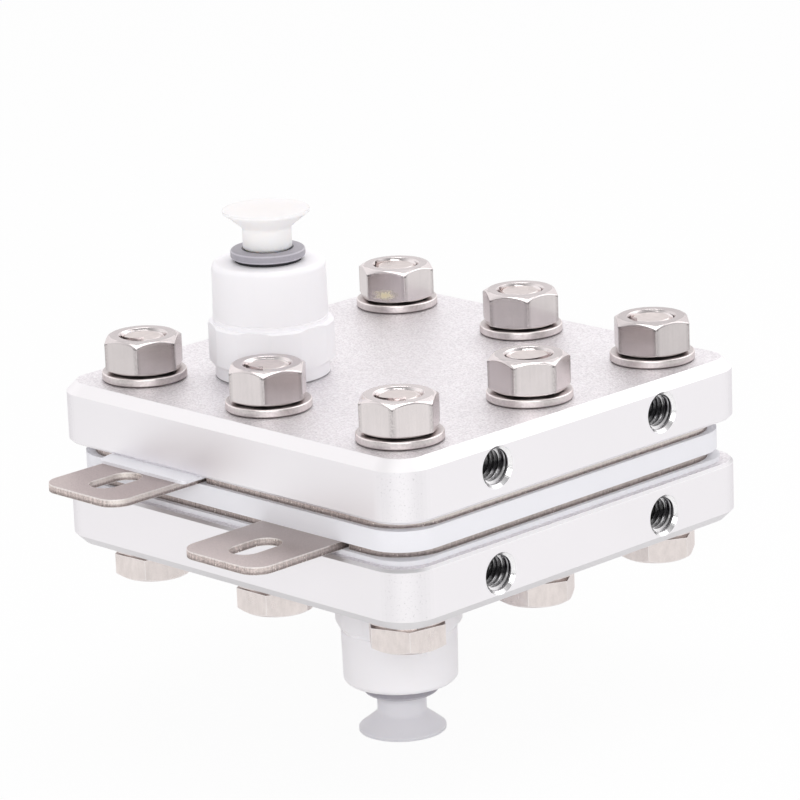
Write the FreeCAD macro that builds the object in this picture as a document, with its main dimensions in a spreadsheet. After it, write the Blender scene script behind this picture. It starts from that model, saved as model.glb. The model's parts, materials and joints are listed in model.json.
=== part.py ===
import FreeCAD, Part
import os
import Sketcher
from FreeCAD import Placement, Rotation, Vector

# Electrolyzer cell with a proton exchange membrane. Two square aluminium end plates clamp a
# stack of gaskets, titanium terminal plates and a membrane with eight bolts. Each end plate
# carries a push-in tube fitting, closed by a blanking plug.
#
# Lengths are in millimetres. The origin lies on the +X side of the end plates, in the middle
# of the four threaded side holes that the cell is fixed by. z = 0 is half way up the clamped
# stack, and the terminal tabs point along -Y. Each piece is drawn in its own frame: flat
# pieces rest on their own z = 0, and a fitting stands on it with +Z pointing out of the plate.

SIZES = (
    ("plate_side", 69.2, "side of the square end plates"),
    ("plate_thickness", 8.65, "end plate thickness"),
    ("plate_corner_radius", 5.3, "radius of the end plates' upright edges"),
    ("outer_chamfer", 1.45, "chamfer round the outer face of an end plate"),
    ("inner_chamfer", 0.4, "chamfer round the inner face of an end plate"),
    ("bolt_pitch", 50.4, "distance between the corner bolts"),
    ("bolt_hole", 6.6, "bolt clearance hole in the end plates"),
    ("side_hole", 5.0, "thread diameter of the side holes"),
    ("side_hole_depth", 12.0, "depth of the side holes"),
    ("side_hole_mouth", 5.9, "countersink diameter of the side holes"),
    ("side_hole_pitch", 33.0, "distance between the side holes of one plate"),
    ("stack_inset", 1.4, "step from the end plates' sides to the stack"),
    ("upper_gasket_thickness", 0.45, "insulating gasket under the upper plate"),
    ("lower_gasket_thickness", 0.65, "insulating gasket on the lower plate"),
    ("gasket_corner_radius", 5.0, "corner radius of the insulating gaskets"),
    ("terminal_thickness", 1.1, "titanium sheet of the terminal plates"),
    ("terminal_inset", 0.65, "step from the gaskets' sides to the terminal plates"),
    ("terminal_corner_radius", 7.0, "corner radius of the terminal plates"),
    ("frame_thickness", 1.36, "frame gasket on each side of the membrane"),
    ("frame_corner_radius", 6.0, "corner radius of the frame gaskets"),
    ("membrane_thickness", 0.18, "membrane thickness"),
    ("membrane_inset", 0.35, "step from the frame gaskets' sides to the membrane"),
    ("window_side", 36.0, "side of the reaction chamber's square window"),
    ("window_corner_radius", 2.0, "corner radius of the window"),
    ("felt_clearance", 0.2, "gap between a felt and the window round it"),
    ("sleeve_outside", 7.8, "outer diameter of the insulating bolt sleeves"),
    ("sleeve_bore", 6.3, "bore of the insulating bolt sleeves"),
    ("sleeve_clearance", 0.1, "radial gap round a sleeve in the stack's bolt holes"),
    ("tab_width", 15.2, "width of the terminal tabs"),
    ("tab_reach", 14.2, "length of the terminal tabs beyond the end plates"),
    ("tab_corner_radius", 3.0, "corner radius at the tip of a tab"),
    ("upper_tab_place", -13.7, "x of the upper tab from the cell's axis"),
    ("lower_tab_place", 13.8, "x of the lower tab from the cell's axis"),
    ("slot_width", 4.6, "width of the slot in a tab"),
    ("slot_length", 8.2, "length of the slot in a tab"),
    ("slot_edge", 7.15, "distance from a tab's tip to the middle of its slot"),
    ("notch_width", 0.8, "width of the relief notches beside a tab"),
    ("notch_depth", 0.9, "depth of the relief notches beside a tab"),
    ("tongue_left", 9.0, "insulating tongue over the upper tab: reach to the left"),
    ("tongue_right", 9.05, "reach of the tongue to the right"),
    ("tongue_slant", 0.7, "slant of the tongue's left end"),
    ("tongue_reach", 2.8, "reach of the tongue beyond the end plate"),
    ("tongue_corner_radius", 0.6, "corner radius of the tongue"),
    ("bolt_diameter", 5.9, "bolt shank diameter"),
    ("bolt_end_chamfer", 0.45, "chamfer of the bolt ends"),
    ("head_flats", 10.0, "width across flats of the bolt heads"),
    ("head_height", 4.0, "height of the bolt heads"),
    ("head_face", 9.0, "diameter of the round bearing face on the bolt heads"),
    ("head_face_height", 0.6, "height of the bearing face, within the head's height"),
    ("nut_flats", 10.0, "width across flats of the nuts"),
    ("nut_height", 5.05, "height of the nuts"),
    ("nut_bore", 6.0, "bore of the nuts"),
    ("nut_mouth", 0.35, "countersink depth at both ends of the nuts"),
    ("hex_chamfer_share", 0.96, "chamfer circle as a share of the width across flats"),
    ("bolt_end_drop", 0.25, "depth of the bolt ends below the nuts' tops"),
    ("washer_outside", 12.0, "outer diameter of the washers"),
    ("washer_bore", 6.4, "bore of the washers"),
    ("washer_thickness", 1.2, "thickness of the washers"),
    ("washer_edge", 0.25, "rounding of the washers' edges"),
    ("upper_port_x", -12.5, "upper port from the cell's axis, along x"),
    ("upper_port_y", -12.4, "upper port from the cell's axis, along y"),
    ("lower_port_x", 11.65, "lower port from the cell's axis, along x"),
    ("lower_port_y", -13.35, "lower port from the cell's axis, along y"),
    ("upper_collar_turn", 30.0, "turn of the upper fitting's hexagon, in degrees"),
    ("lower_collar_turn", 34.0, "turn of the lower fitting's hexagon, in degrees"),
    ("stub_diameter", 9.7, "threaded stub of a fitting"),
    ("stub_length", 7.2, "length of the stub in the end plate"),
    ("stub_clearance", 0.05, "radial gap between the stub and its hole"),
    ("stub_chamfer", 0.6, "chamfer at the stub's end"),
    ("port_passage", 4.4, "passage from the fitting to the reaction chamber"),
    ("base_diameter", 16.1, "round base of a fitting"),
    ("base_height", 2.15, "height of the round base"),
    ("collar_flats", 17.0, "width across flats of the hexagonal collar"),
    ("collar_height", 5.65, "height of the hexagonal collar"),
    ("collar_corner_radius", 8.85, "radius that the collar's corners are turned to"),
    ("collar_edge", 0.25, "chamfer of the collar's upper and lower corners"),
    ("barrel_foot", 16.2, "barrel diameter above the collar"),
    ("barrel_top", 15.95, "barrel diameter at the top"),
    ("barrel_height", 8.5, "height of the barrel above the collar"),
    ("barrel_rounding", 0.8, "rounding of the barrel's top edge"),
    ("band_height", 0.5, "round band between the collar and the barrel's groove"),
    ("band_groove", 0.15, "depth of the groove between the band and the barrel"),
    ("seal_groove_width", 1.3, "width of the port seal's groove in the base"),
    ("seal_groove_depth", 1.1, "depth of the port seal's groove in the base"),
    ("tube_stop", 3.0, "height of the step that stops the tube or plug"),
    ("tube_seal_floor", 7.4, "height of the tube seal's seat"),
    ("tube_seal_height", 2.1, "height of the tube seal's seat wall"),
    ("tube_seal_section", 1.8, "section diameter of the tube seal"),
    ("collet_room_top", 13.0, "height where the collet's room starts to narrow"),
    ("collet_room_gap", 0.3, "gap round the collet's fingers in their room"),
    ("collet_sleeve", 9.1, "outer diameter of the collet's sleeve"),
    ("collet_finger", 10.4, "diameter over the collet's finger ends"),
    ("collet_nose", 10.3, "height of the collet's finger ends"),
    ("collet_barb", 1.2, "height of the barb on each finger"),
    ("collet_flange", 10.5, "diameter of the collet's flange"),
    ("collet_flange_height", 1.35, "height of the collet's flange"),
    ("collet_gap", 0.4, "open gap between the barrel and the collet's flange"),
    ("collet_rounding", 0.45, "rounding of the collet flange's edges"),
    ("collet_running_gap", 0.1, "radial gap of the collet's sleeve in the barrel"),
    ("finger_slit", 0.8, "width of the slits between the collet's fingers"),
    ("finger_length", 4.4, "length of the slits between the collet's fingers"),
    ("tooth_height", 0.4, "height of the steel teeth in the fingers"),
    ("tooth_reach", 0.5, "depth of the steel teeth in the fingers"),
    ("plug_stem", 6.35, "stem diameter of the blanking plug"),
    ("plug_stem_gap", 0.12, "radial gap round the plug's stem"),
    ("plug_neck", 6.9, "neck diameter of the plug above the collet"),
    ("plug_neck_gap", 0.15, "gap between the collet's flange and the plug's neck"),
    ("plug_height", 23.6, "height of the plug's top above the end plate"),
    ("plug_lip", 12.2, "diameter of the plug's lip"),
    ("plug_lip_height", 0.4, "thickness of the plug's lip"),
    ("plug_cone_height", 2.1, "height of the cone that spreads the neck to the lip"),
    ("plug_rounding", 0.6, "rounding between the neck and its cone"),
)

# The clamped layers from the bottom up, each with the size that is its thickness.
STACK = (
    ("lower_end_plate", "plate_thickness"),
    ("lower_insulating_gasket", "lower_gasket_thickness"),
    ("lower_terminal_plate", "terminal_thickness"),
    ("lower_frame_gasket", "frame_thickness"),
    ("membrane", "membrane_thickness"),
    ("upper_frame_gasket", "frame_thickness"),
    ("upper_terminal_plate", "terminal_thickness"),
    ("upper_insulating_gasket", "upper_gasket_thickness"),
    ("upper_end_plate", "plate_thickness"),
)

# Each bolt's column and row, and how far its nut and its head are turned, in degrees.
BOLTS = (
    (-1, -1, 7.9, 4.2),
    (0, -1, 10.8, 0.7),
    (1, -1, 5.2, 18.3),
    (1, 0, -8.7, 3.0),
    (1, 1, 17.8, 0.6),
    (0, 1, 23.9, 14.0),
    (-1, 1, 27.4, 22.0),
    (-1, 0, 12.0, 8.0),
)

doc = FreeCAD.newDocument("electrolyzer_cell")
sheet = doc.addObject("Spreadsheet::Sheet", "Sizes")
for row, (alias, size, meaning) in enumerate(SIZES, start=1):
    sheet.set(f"A{row}", meaning)
    sheet.set(f"B{row}", str(size))
    sheet.setAlias(f"B{row}", alias)
doc.recompute()

TOTAL = "(" + " + ".join(f"Sizes.{thickness}" for _, thickness in STACK) + ")"
AXIS_X = "-Sizes.plate_side / 2"
STACK_SIDE = "(Sizes.plate_side - 2 * Sizes.stack_inset)"
TERMINAL_SIDE = f"({STACK_SIDE} - 2 * Sizes.terminal_inset)"
SLEEVE_HOLE = "(Sizes.sleeve_outside + 2 * Sizes.sleeve_clearance)"
COLLAR_TOP = "(Sizes.base_height + Sizes.collar_height)"
BARREL_TOP = "(Sizes.base_height + Sizes.collar_height + Sizes.barrel_height)"
FLANGE_FOOT = f"({BARREL_TOP} + Sizes.collet_gap)"
FLANGE_TOP = f"({FLANGE_FOOT} + Sizes.collet_flange_height)"
CHAMBER_FLOOR = "(Sizes.tube_seal_floor + Sizes.tube_seal_height)"
FULL_TURN = 360.0
HALF_TURN = 180.0
EPS = 1e-6


def level(layer):
    """Gives the height of a layer's underside as an expression."""
    names = [name for name, _ in STACK]
    below = [f"Sizes.{thickness}" for _, thickness in STACK[: names.index(layer)]]
    return " + ".join(below + [f"-{TOTAL} / 2"])


def value_of(owner, expression):
    """Works an expression out to a plain number."""
    return float(owner.evalExpression(expression))


def new_body(label):
    """Starts a piece of its own."""
    body = doc.addObject("PartDesign::Body", label)
    body.Label = label
    return body


def place(piece, x, y, height, flipped=False):
    """Stands a piece at a point measured from the cell's axis, upright or upside down."""
    turn = Rotation(Vector(1, 0, 0), HALF_TURN) if flipped else Rotation()
    piece.Placement = Placement(Vector(), turn)
    piece.setExpression("Placement.Base.x", f"{AXIS_X} + {x}")
    piece.setExpression("Placement.Base.y", y)
    piece.setExpression("Placement.Base.z", height)
    return piece


def new_sketch(body, name, role="XY_Plane", lift=None):
    """Opens a sketch on one of the body's own origin planes, raised by an expression."""
    sketch = body.newObject("Sketcher::SketchObject", f"{body.Label}_{name}")
    plane = next(item for item in body.Origin.OriginFeatures if item.Role == role)
    sketch.AttachmentSupport = (plane, [""])
    sketch.MapMode = "FlatFace"
    if lift is not None:
        sketch.setExpression("AttachmentOffset.Base.z", lift)
    return sketch


def pin_point(sketch, line, point, x, y):
    """Ties one point of a sketch line to its distances from the sketch's origin."""
    for kind, axis, distance in (("DistanceX", -2, x), ("DistanceY", -1, y)):
        amount = value_of(sketch, distance)
        if abs(amount) < EPS:
            sketch.addConstraint(Sketcher.Constraint("PointOnObject", line, point, axis))
        elif amount > 0:
            tie = sketch.addConstraint(Sketcher.Constraint(kind, -1, 1, line, point, amount))
            sketch.setExpression(f"Constraints[{tie}]", distance)
        else:
            tie = sketch.addConstraint(Sketcher.Constraint(kind, line, point, -1, 1, -amount))
            sketch.setExpression(f"Constraints[{tie}]", f"-({distance})")


def add_outline(sketch, corners):
    """Draws a closed outline of straight lines through corners given as expressions."""
    spots = [Vector(value_of(sketch, x), value_of(sketch, y), 0) for x, y in corners]
    first = sketch.GeometryCount
    count = len(spots)
    for index in range(count):
        line = Part.LineSegment(spots[index], spots[(index + 1) % count])
        sketch.addGeometry(line, False)
    for index in range(count):
        follower = first + (index + 1) % count
        sketch.addConstraint(Sketcher.Constraint("Coincident", first + index, 2, follower, 1))
    for index, (x, y) in enumerate(corners):
        pin_point(sketch, first + index, 1, x, y)
    return sketch


def add_rectangle(sketch, width, depth, x="0", y="0"):
    """Draws a rectangle about a centre."""
    sides = ((-1, -1), (1, -1), (1, 1), (-1, 1))
    corners = [(f"{x} + {right} * {width} / 2", f"{y} + {up} * {depth} / 2") for right, up in sides]
    return add_outline(sketch, corners)


def add_circle(sketch, x, y, diameter):
    """Draws a circle about a centre."""
    centre = Vector(value_of(sketch, x), value_of(sketch, y), 0)
    width = value_of(sketch, diameter)
    circle = sketch.addGeometry(Part.Circle(centre, Vector(0, 0, 1), width / 2), False)
    pin_point(sketch, circle, 3, x, y)
    tie = sketch.addConstraint(Sketcher.Constraint("Diameter", circle, width))
    sketch.setExpression(f"Constraints[{tie}]", diameter)
    return sketch


def add_slot(sketch, x, y, width, length):
    """Draws a slot with round ends that runs along the sketch's y."""
    left = f"{x} - {width} / 2"
    right = f"{x} + {width} / 2"
    low = f"{y} - ({length} - {width}) / 2"
    high = f"{y} + ({length} - {width}) / 2"
    middle = value_of(sketch, x)
    radius = value_of(sketch, width) / 2
    ends = []
    for start, stop, side in ((low, high, right), (high, low, left)):
        begin = Vector(value_of(sketch, side), value_of(sketch, start), 0)
        end = Vector(value_of(sketch, side), value_of(sketch, stop), 0)
        line = sketch.addGeometry(Part.LineSegment(begin, end), False)
        pin_point(sketch, line, 1, side, start)
        pin_point(sketch, line, 2, side, stop)
        ends.append(line)
    for line, follower, height, lift in ((ends[0], ends[1], high, 1), (ends[1], ends[0], low, -1)):
        begin = sketch.getPoint(line, 2)
        top = Vector(middle, value_of(sketch, height) + lift * radius, 0)
        arc = sketch.addGeometry(Part.Arc(begin, top, sketch.getPoint(follower, 1)), False)
        sketch.addConstraint(Sketcher.Constraint("Coincident", arc, 1, line, 2))
        sketch.addConstraint(Sketcher.Constraint("Coincident", arc, 2, follower, 1))
        amount = value_of(sketch, height)
        tie = sketch.addConstraint(Sketcher.Constraint("DistanceY", arc, 3, -1, 1, -amount))
        sketch.setExpression(f"Constraints[{tie}]", f"-({height})")
    return sketch


def pad(body, sketch, length):
    """Raises a sketch to a solid."""
    feature = body.newObject("PartDesign::Pad", f"{sketch.Label}_pad")
    feature.Profile = sketch
    feature.setExpression("Length", length)
    doc.recompute()
    return feature


def pocket(body, sketch, depth=None, reverse=False):
    """Cuts a sketch into the solid, to a depth or right through. Its cut has to take metal."""
    before = body.Shape.Volume
    feature = body.newObject("PartDesign::Pocket", f"{sketch.Label}_cut")
    feature.Profile = sketch
    feature.Reversed = reverse
    if depth is None:
        feature.Type = "ThroughAll"
    else:
        feature.setExpression("Length", depth)
    doc.recompute()
    if body.Shape.Volume > before - EPS:
        raise RuntimeError(f"{feature.Label} cuts nothing")
    return feature


def turned(body, sketch, kind="Revolution"):
    """Turns a sketch about its upright axis, to add a solid or with Groove to take one away."""
    feature = body.newObject(f"PartDesign::{kind}", f"{sketch.Label}_{kind.lower()}")
    feature.Profile = sketch
    feature.ReferenceAxis = (sketch, ["V_Axis"])
    feature.Angle = FULL_TURN
    doc.recompute()
    return feature


def dress(body, kind, base, size, chosen):
    """Fillets or chamfers the edges of the base that the test picks."""
    names = [f"Edge{n}" for n, edge in enumerate(base.Shape.Edges, start=1) if chosen(edge)]
    feature = body.newObject(f"PartDesign::{kind}", f"{base.Label}_{kind.lower()}")
    feature.Base = (base, names)
    feature.setExpression("Radius" if kind == "Fillet" else "Size", size)
    doc.recompute()
    return feature


def is_upright(edge):
    """Tells the straight edges that stand along z."""
    box = edge.BoundBox
    return box.ZLength > EPS and box.XLength < EPS and box.YLength < EPS


def lies_at(height):
    """Makes a test for edges that lie flat at a height."""
    return lambda edge: abs(edge.BoundBox.ZMin - height) + abs(edge.BoundBox.ZMax - height) < EPS


def rounded_slab(label, side, thickness, corner_radius):
    """Makes a square sheet with round corners."""
    body = new_body(label)
    outline = add_rectangle(new_sketch(body, "outline"), side, side)
    slab = pad(body, outline, thickness)
    dress(body, "Fillet", slab, corner_radius, is_upright)
    return body


def drill_bolt_holes(body, diameter):
    """Cuts the eight bolt holes right through a flat piece."""
    holes = new_sketch(body, "bolt_holes")
    for column, line, _, _ in BOLTS:
        add_circle(holes, f"{column} * Sizes.bolt_pitch / 2", f"{line} * Sizes.bolt_pitch / 2", diameter)
    return pocket(body, holes, reverse=True)


def drill_passage(body, x, y):
    """Cuts the round passage that joins a port with the reaction chamber."""
    hole = add_circle(new_sketch(body, "passage"), x, y, "Sizes.port_passage")
    return pocket(body, hole, reverse=True)


def end_plate(label, port_x, port_y):
    """Makes an end plate with its inner face at z = 0 and its outer face up."""
    body = rounded_slab(label, "Sizes.plate_side", "Sizes.plate_thickness", "Sizes.plate_corner_radius")
    top = value_of(body, "Sizes.plate_thickness")
    rim = dress(body, "Chamfer", body.Tip, "Sizes.outer_chamfer", lies_at(top))
    dress(body, "Chamfer", rim, "Sizes.inner_chamfer", lies_at(0))
    drill_bolt_holes(body, "Sizes.bolt_hole")
    drill_passage(body, port_x, port_y)
    socket = new_sketch(body, "port", lift="Sizes.plate_thickness")
    add_circle(socket, port_x, port_y, "Sizes.stub_diameter + 2 * Sizes.stub_clearance")
    pocket(body, socket, "Sizes.stub_length")
    side = new_sketch(body, "side_holes", "YZ_Plane", "Sizes.plate_side / 2")
    for way in (-1, 1):
        place_y = f"{way} * Sizes.side_hole_pitch / 2"
        add_circle(side, place_y, "Sizes.plate_thickness / 2", "Sizes.side_hole")
    doc.recompute()
    before = body.Shape.Volume
    drilled = body.newObject("PartDesign::Hole", f"{label}_side_holes_drilled")
    drilled.Profile = side
    drilled.DepthType = "Dimension"
    drilled.setExpression("Diameter", "Sizes.side_hole")
    drilled.setExpression("Depth", "Sizes.side_hole_depth")
    drilled.DrillPoint = "Angled"
    drilled.HoleCutType = "Countersink"
    drilled.setExpression("HoleCutDiameter", "Sizes.side_hole_mouth")
    doc.recompute()
    if body.Shape.Volume > before - EPS:
        raise RuntimeError(f"{drilled.Label} cuts nothing")
    return body


def stack_layer(label, thickness, corner_radius, inset="0"):
    """Makes a sheet of the clamped stack with its eight bolt holes."""
    body = rounded_slab(label, f"({STACK_SIDE} - 2 * {inset})", thickness, corner_radius)
    drill_bolt_holes(body, SLEEVE_HOLE)
    return body


def cut_window(body):
    """Opens the square window of the reaction chamber."""
    window = new_sketch(body, "window")
    add_rectangle(window, "Sizes.window_side", "Sizes.window_side")
    opening = pocket(body, window, reverse=True)
    half = value_of(body, "Sizes.window_side / 2")

    def is_window_corner(edge):
        middle = edge.BoundBox.Center
        return is_upright(edge) and abs(abs(middle.x) - half) + abs(abs(middle.y) - half) < EPS

    dress(body, "Fillet", opening, "Sizes.window_corner_radius", is_window_corner)
    return body


def add_tab(body, tab_x):
    """Adds the terminal tab with its slot and the relief notches at its root."""
    tip = "(Sizes.plate_side / 2 + Sizes.tab_reach)"
    root = f"({TERMINAL_SIDE} / 2 - Sizes.terminal_corner_radius)"
    tab = new_sketch(body, "tab")
    add_rectangle(tab, "Sizes.tab_width", f"({tip} - {root})", tab_x, f"-({tip} + {root}) / 2")
    strip = pad(body, tab, "Sizes.terminal_thickness")
    tip_y = -value_of(body, tip)
    dress(
        body,
        "Fillet",
        strip,
        "Sizes.tab_corner_radius",
        lambda edge: is_upright(edge) and abs(edge.BoundBox.YMin - tip_y) < EPS,
    )
    slot = new_sketch(body, "slot")
    add_slot(slot, tab_x, f"-{tip} + Sizes.slot_edge", "Sizes.slot_width", "Sizes.slot_length")
    pocket(body, slot, reverse=True)
    notches = new_sketch(body, "notches")
    for way in (-1, 1):
        add_rectangle(
            notches,
            "Sizes.notch_width",
            "Sizes.notch_depth",
            f"{tab_x} + {way} * (Sizes.tab_width + Sizes.notch_width) / 2",
            f"-({TERMINAL_SIDE} - Sizes.notch_depth) / 2",
        )
    pocket(body, notches, reverse=True)
    return body


def add_tongue(body):
    """Adds the flap of the upper insulating gasket that lies on the upper tab."""
    left = "Sizes.upper_tab_place - Sizes.tongue_left"
    right = "Sizes.upper_tab_place + Sizes.tongue_right"
    root = f"-({STACK_SIDE} / 2 - Sizes.gasket_corner_radius)"
    tip = "-(Sizes.plate_side / 2 + Sizes.tongue_reach)"
    tongue = new_sketch(body, "tongue")
    corners = ((left, root), (left, "-Sizes.plate_side / 2"), (f"{left} + Sizes.tongue_slant", tip))
    add_outline(tongue, corners + ((right, tip), (right, root)))
    flap = pad(body, tongue, "Sizes.upper_gasket_thickness")
    tip_y = value_of(body, tip)
    dress(
        body,
        "Fillet",
        flap,
        "Sizes.tongue_corner_radius",
        lambda edge: is_upright(edge) and abs(edge.BoundBox.YMin - tip_y) < EPS,
    )
    return body


def felt(label):
    """Makes one of the two porous layers that fill the reaction chamber."""
    side = "(Sizes.window_side - 2 * Sizes.felt_clearance)"
    return rounded_slab(label, side, "Sizes.frame_thickness", "Sizes.window_corner_radius")


def hexagon(body, flats, height, lift=None, turn=None):
    """Adds a six-sided prism, given by its width across flats."""
    prism = body.newObject("PartDesign::AdditivePrism", f"{body.Label}_hexagon")
    plane = next(item for item in body.Origin.OriginFeatures if item.Role == "XY_Plane")
    prism.AttachmentSupport = (plane, [""])
    prism.MapMode = "FlatFace"
    prism.Polygon = 6
    prism.setExpression("Circumradius", f"{flats} / sqrt(3)")
    prism.setExpression("Height", height)
    if lift is not None:
        prism.setExpression("AttachmentOffset.Base.z", lift)
    if turn is not None:
        prism.setExpression("AttachmentOffset.Rotation.Angle", turn)
    doc.recompute()
    return prism


def turn_hex_corners(body, flats, heights):
    """Turns a hexagon's corners off under 30 degrees, at the end heights given with a way up."""
    inner = f"{flats} / 2 * Sizes.hex_chamfer_share"
    outer = f"{flats} * 0.6"
    for number, (height, way) in enumerate(heights):
        drop = f"{height} - {way} * ({outer} - {inner}) / sqrt(3)"
        corner = new_sketch(body, f"corner_{number}", "XZ_Plane")
        add_outline(corner, ((inner, height), (outer, height), (outer, drop)))
        turned(body, corner, "Groove")
    return body


def ring(label, outside, bore, height):
    """Makes a plain ring."""
    body = new_body(label)
    outline = new_sketch(body, "outline")
    add_circle(outline, "0", "0", outside)
    add_circle(outline, "0", "0", bore)
    pad(body, outline, height)
    return body


def washer_pattern():
    """Makes the washer that lies under every nut and head."""
    body = ring("washer", "Sizes.washer_outside", "Sizes.washer_bore", "Sizes.washer_thickness")
    edge_radius = value_of(body, "Sizes.washer_outside") / 2
    dress(
        body,
        "Fillet",
        body.Tip,
        "Sizes.washer_edge",
        lambda edge: abs(edge.BoundBox.XMax - edge_radius) < EPS and edge.BoundBox.ZLength < EPS,
    )
    return body


def nut_pattern():
    """Makes a hexagon nut that stands on z = 0."""
    body = new_body("nut")
    hexagon(body, "Sizes.nut_flats", "Sizes.nut_height")
    turn_hex_corners(body, "Sizes.nut_flats", (("Sizes.nut_height", 1), ("0", -1)))
    bore = add_circle(new_sketch(body, "bore"), "0", "0", "Sizes.nut_bore")
    drilled = pocket(body, bore, reverse=True)
    rim = value_of(body, "Sizes.nut_bore") / 2
    dress(
        body,
        "Chamfer",
        drilled,
        "Sizes.nut_mouth",
        lambda edge: abs(edge.BoundBox.XMax - rim) < EPS and edge.BoundBox.ZLength < EPS,
    )
    return body


def bolt_pattern():
    """Makes a bolt with its head below z = 0, a round bearing face on it, and its shank up."""
    body = new_body("bolt")
    length = f"({TOTAL} + 2 * Sizes.washer_thickness + Sizes.nut_height - Sizes.bolt_end_drop)"
    flats_height = "Sizes.head_height - Sizes.head_face_height"
    hexagon(body, "Sizes.head_flats", flats_height, "-Sizes.head_height")
    turn_hex_corners(body, "Sizes.head_flats", (("-Sizes.head_height", -1),))
    face = new_sketch(body, "bearing_face", lift="-Sizes.head_face_height")
    add_circle(face, "0", "0", "Sizes.head_face")
    pad(body, face, "Sizes.head_face_height")
    shank = add_circle(new_sketch(body, "shank"), "0", "0", "Sizes.bolt_diameter")
    rod = pad(body, shank, length)
    end = value_of(body, length)
    dress(body, "Chamfer", rod, "Sizes.bolt_end_chamfer", lies_at(end))
    return body


def at_every_bolt(label, pattern, height, turns):
    """Sets a copy of a fastener at every bolt hole, as one group of separate solids."""
    copies = []
    for number, (column, line, _, _) in enumerate(BOLTS):
        copy = doc.addObject("App::Link", f"{label}_{number + 1}")
        copy.LinkedObject = pattern
        copy.Placement = Placement(Vector(), Rotation(Vector(0, 0, 1), turns[number]))
        copy.setExpression("Placement.Base.x", f"{AXIS_X} + {column} * Sizes.bolt_pitch / 2")
        copy.setExpression("Placement.Base.y", f"{line} * Sizes.bolt_pitch / 2")
        copy.setExpression("Placement.Base.z", height)
        copies.append(copy)
    group = doc.addObject("Part::Compound", label)
    group.Label = label
    group.Links = copies
    return group


def fitting_body(label, turn):
    """Makes a push-in fitting: stub, round base, hexagonal collar and hollow barrel."""
    body = new_body(label)
    stub = "Sizes.stub_diameter / 2"
    base = "Sizes.base_diameter / 2"
    foot = "Sizes.barrel_foot / 2"
    band_top = f"{COLLAR_TOP} + Sizes.band_height"
    outside = new_sketch(body, "outside", "XZ_Plane")
    add_outline(
        outside,
        (
            ("0", "-Sizes.stub_length"),
            (f"{stub} - Sizes.stub_chamfer", "-Sizes.stub_length"),
            (stub, "-Sizes.stub_length + Sizes.stub_chamfer"),
            (stub, "Sizes.seal_groove_depth"),
            (f"{stub} + Sizes.seal_groove_width", "Sizes.seal_groove_depth"),
            (f"{stub} + Sizes.seal_groove_width", "0"),
            (base, "0"),
            (base, COLLAR_TOP),
            (foot, COLLAR_TOP),
            (foot, band_top),
            (f"{foot} - Sizes.band_groove", f"{band_top} + Sizes.band_groove"),
            (foot, f"{band_top} + 2 * Sizes.band_groove"),
            ("Sizes.barrel_top / 2", BARREL_TOP),
            ("0", BARREL_TOP),
        ),
    )
    turned(body, outside)
    hexagon(body, "Sizes.collar_flats", "Sizes.collar_height", "Sizes.base_height", turn)
    blend = new_sketch(body, "collar_corners", "XZ_Plane")
    far = "Sizes.collar_flats * 0.6"
    corner = "Sizes.collar_corner_radius"
    low = "Sizes.base_height"
    add_outline(
        blend,
        (
            (f"{corner} - Sizes.collar_edge", low),
            (corner, f"{low} + Sizes.collar_edge"),
            (corner, f"{COLLAR_TOP} - Sizes.collar_edge"),
            (f"{corner} - Sizes.collar_edge", COLLAR_TOP),
            (far, COLLAR_TOP),
            (far, low),
        ),
    )
    shaped = turned(body, blend, "Groove")
    top = value_of(body, BARREL_TOP)
    dress(body, "Fillet", shaped, "Sizes.barrel_rounding", lies_at(top))
    mouth = "Sizes.collet_sleeve / 2 + Sizes.collet_running_gap"
    room = "Sizes.collet_finger / 2 + Sizes.collet_room_gap"
    seat = "Sizes.plug_stem / 2 + Sizes.tube_seal_section"
    tube = "Sizes.plug_stem / 2 + Sizes.plug_stem_gap"
    passage = "Sizes.port_passage / 2"
    inside = new_sketch(body, "inside", "XZ_Plane")
    add_outline(
        inside,
        (
            ("0", "-Sizes.stub_length"),
            (passage, "-Sizes.stub_length"),
            (passage, "Sizes.tube_stop"),
            (tube, "Sizes.tube_stop"),
            (tube, "Sizes.tube_seal_floor"),
            (seat, "Sizes.tube_seal_floor"),
            (seat, CHAMBER_FLOOR),
            (room, CHAMBER_FLOOR),
            (room, "Sizes.collet_room_top"),
            (mouth, f"Sizes.collet_room_top + {room} - ({mouth})"),
            (mouth, BARREL_TOP),
            ("0", BARREL_TOP),
        ),
    )
    turned(body, inside, "Groove")
    return body


def slit_fingers(body, height, foot):
    """Cuts the two crossing slits that part the collet's fingers."""
    slits = new_sketch(body, "slit", lift=foot)
    add_rectangle(slits, "Sizes.collet_finger * 1.2", "Sizes.finger_slit")
    first = pocket(body, slits, height, reverse=True)
    spread = body.newObject("PartDesign::PolarPattern", f"{body.Label}_slits")
    spread.Originals = [first]
    spread.Axis = (slits, ["N_Axis"])
    spread.Angle = FULL_TURN
    spread.Occurrences = 4
    body.Tip = spread
    doc.recompute()
    return body


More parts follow.
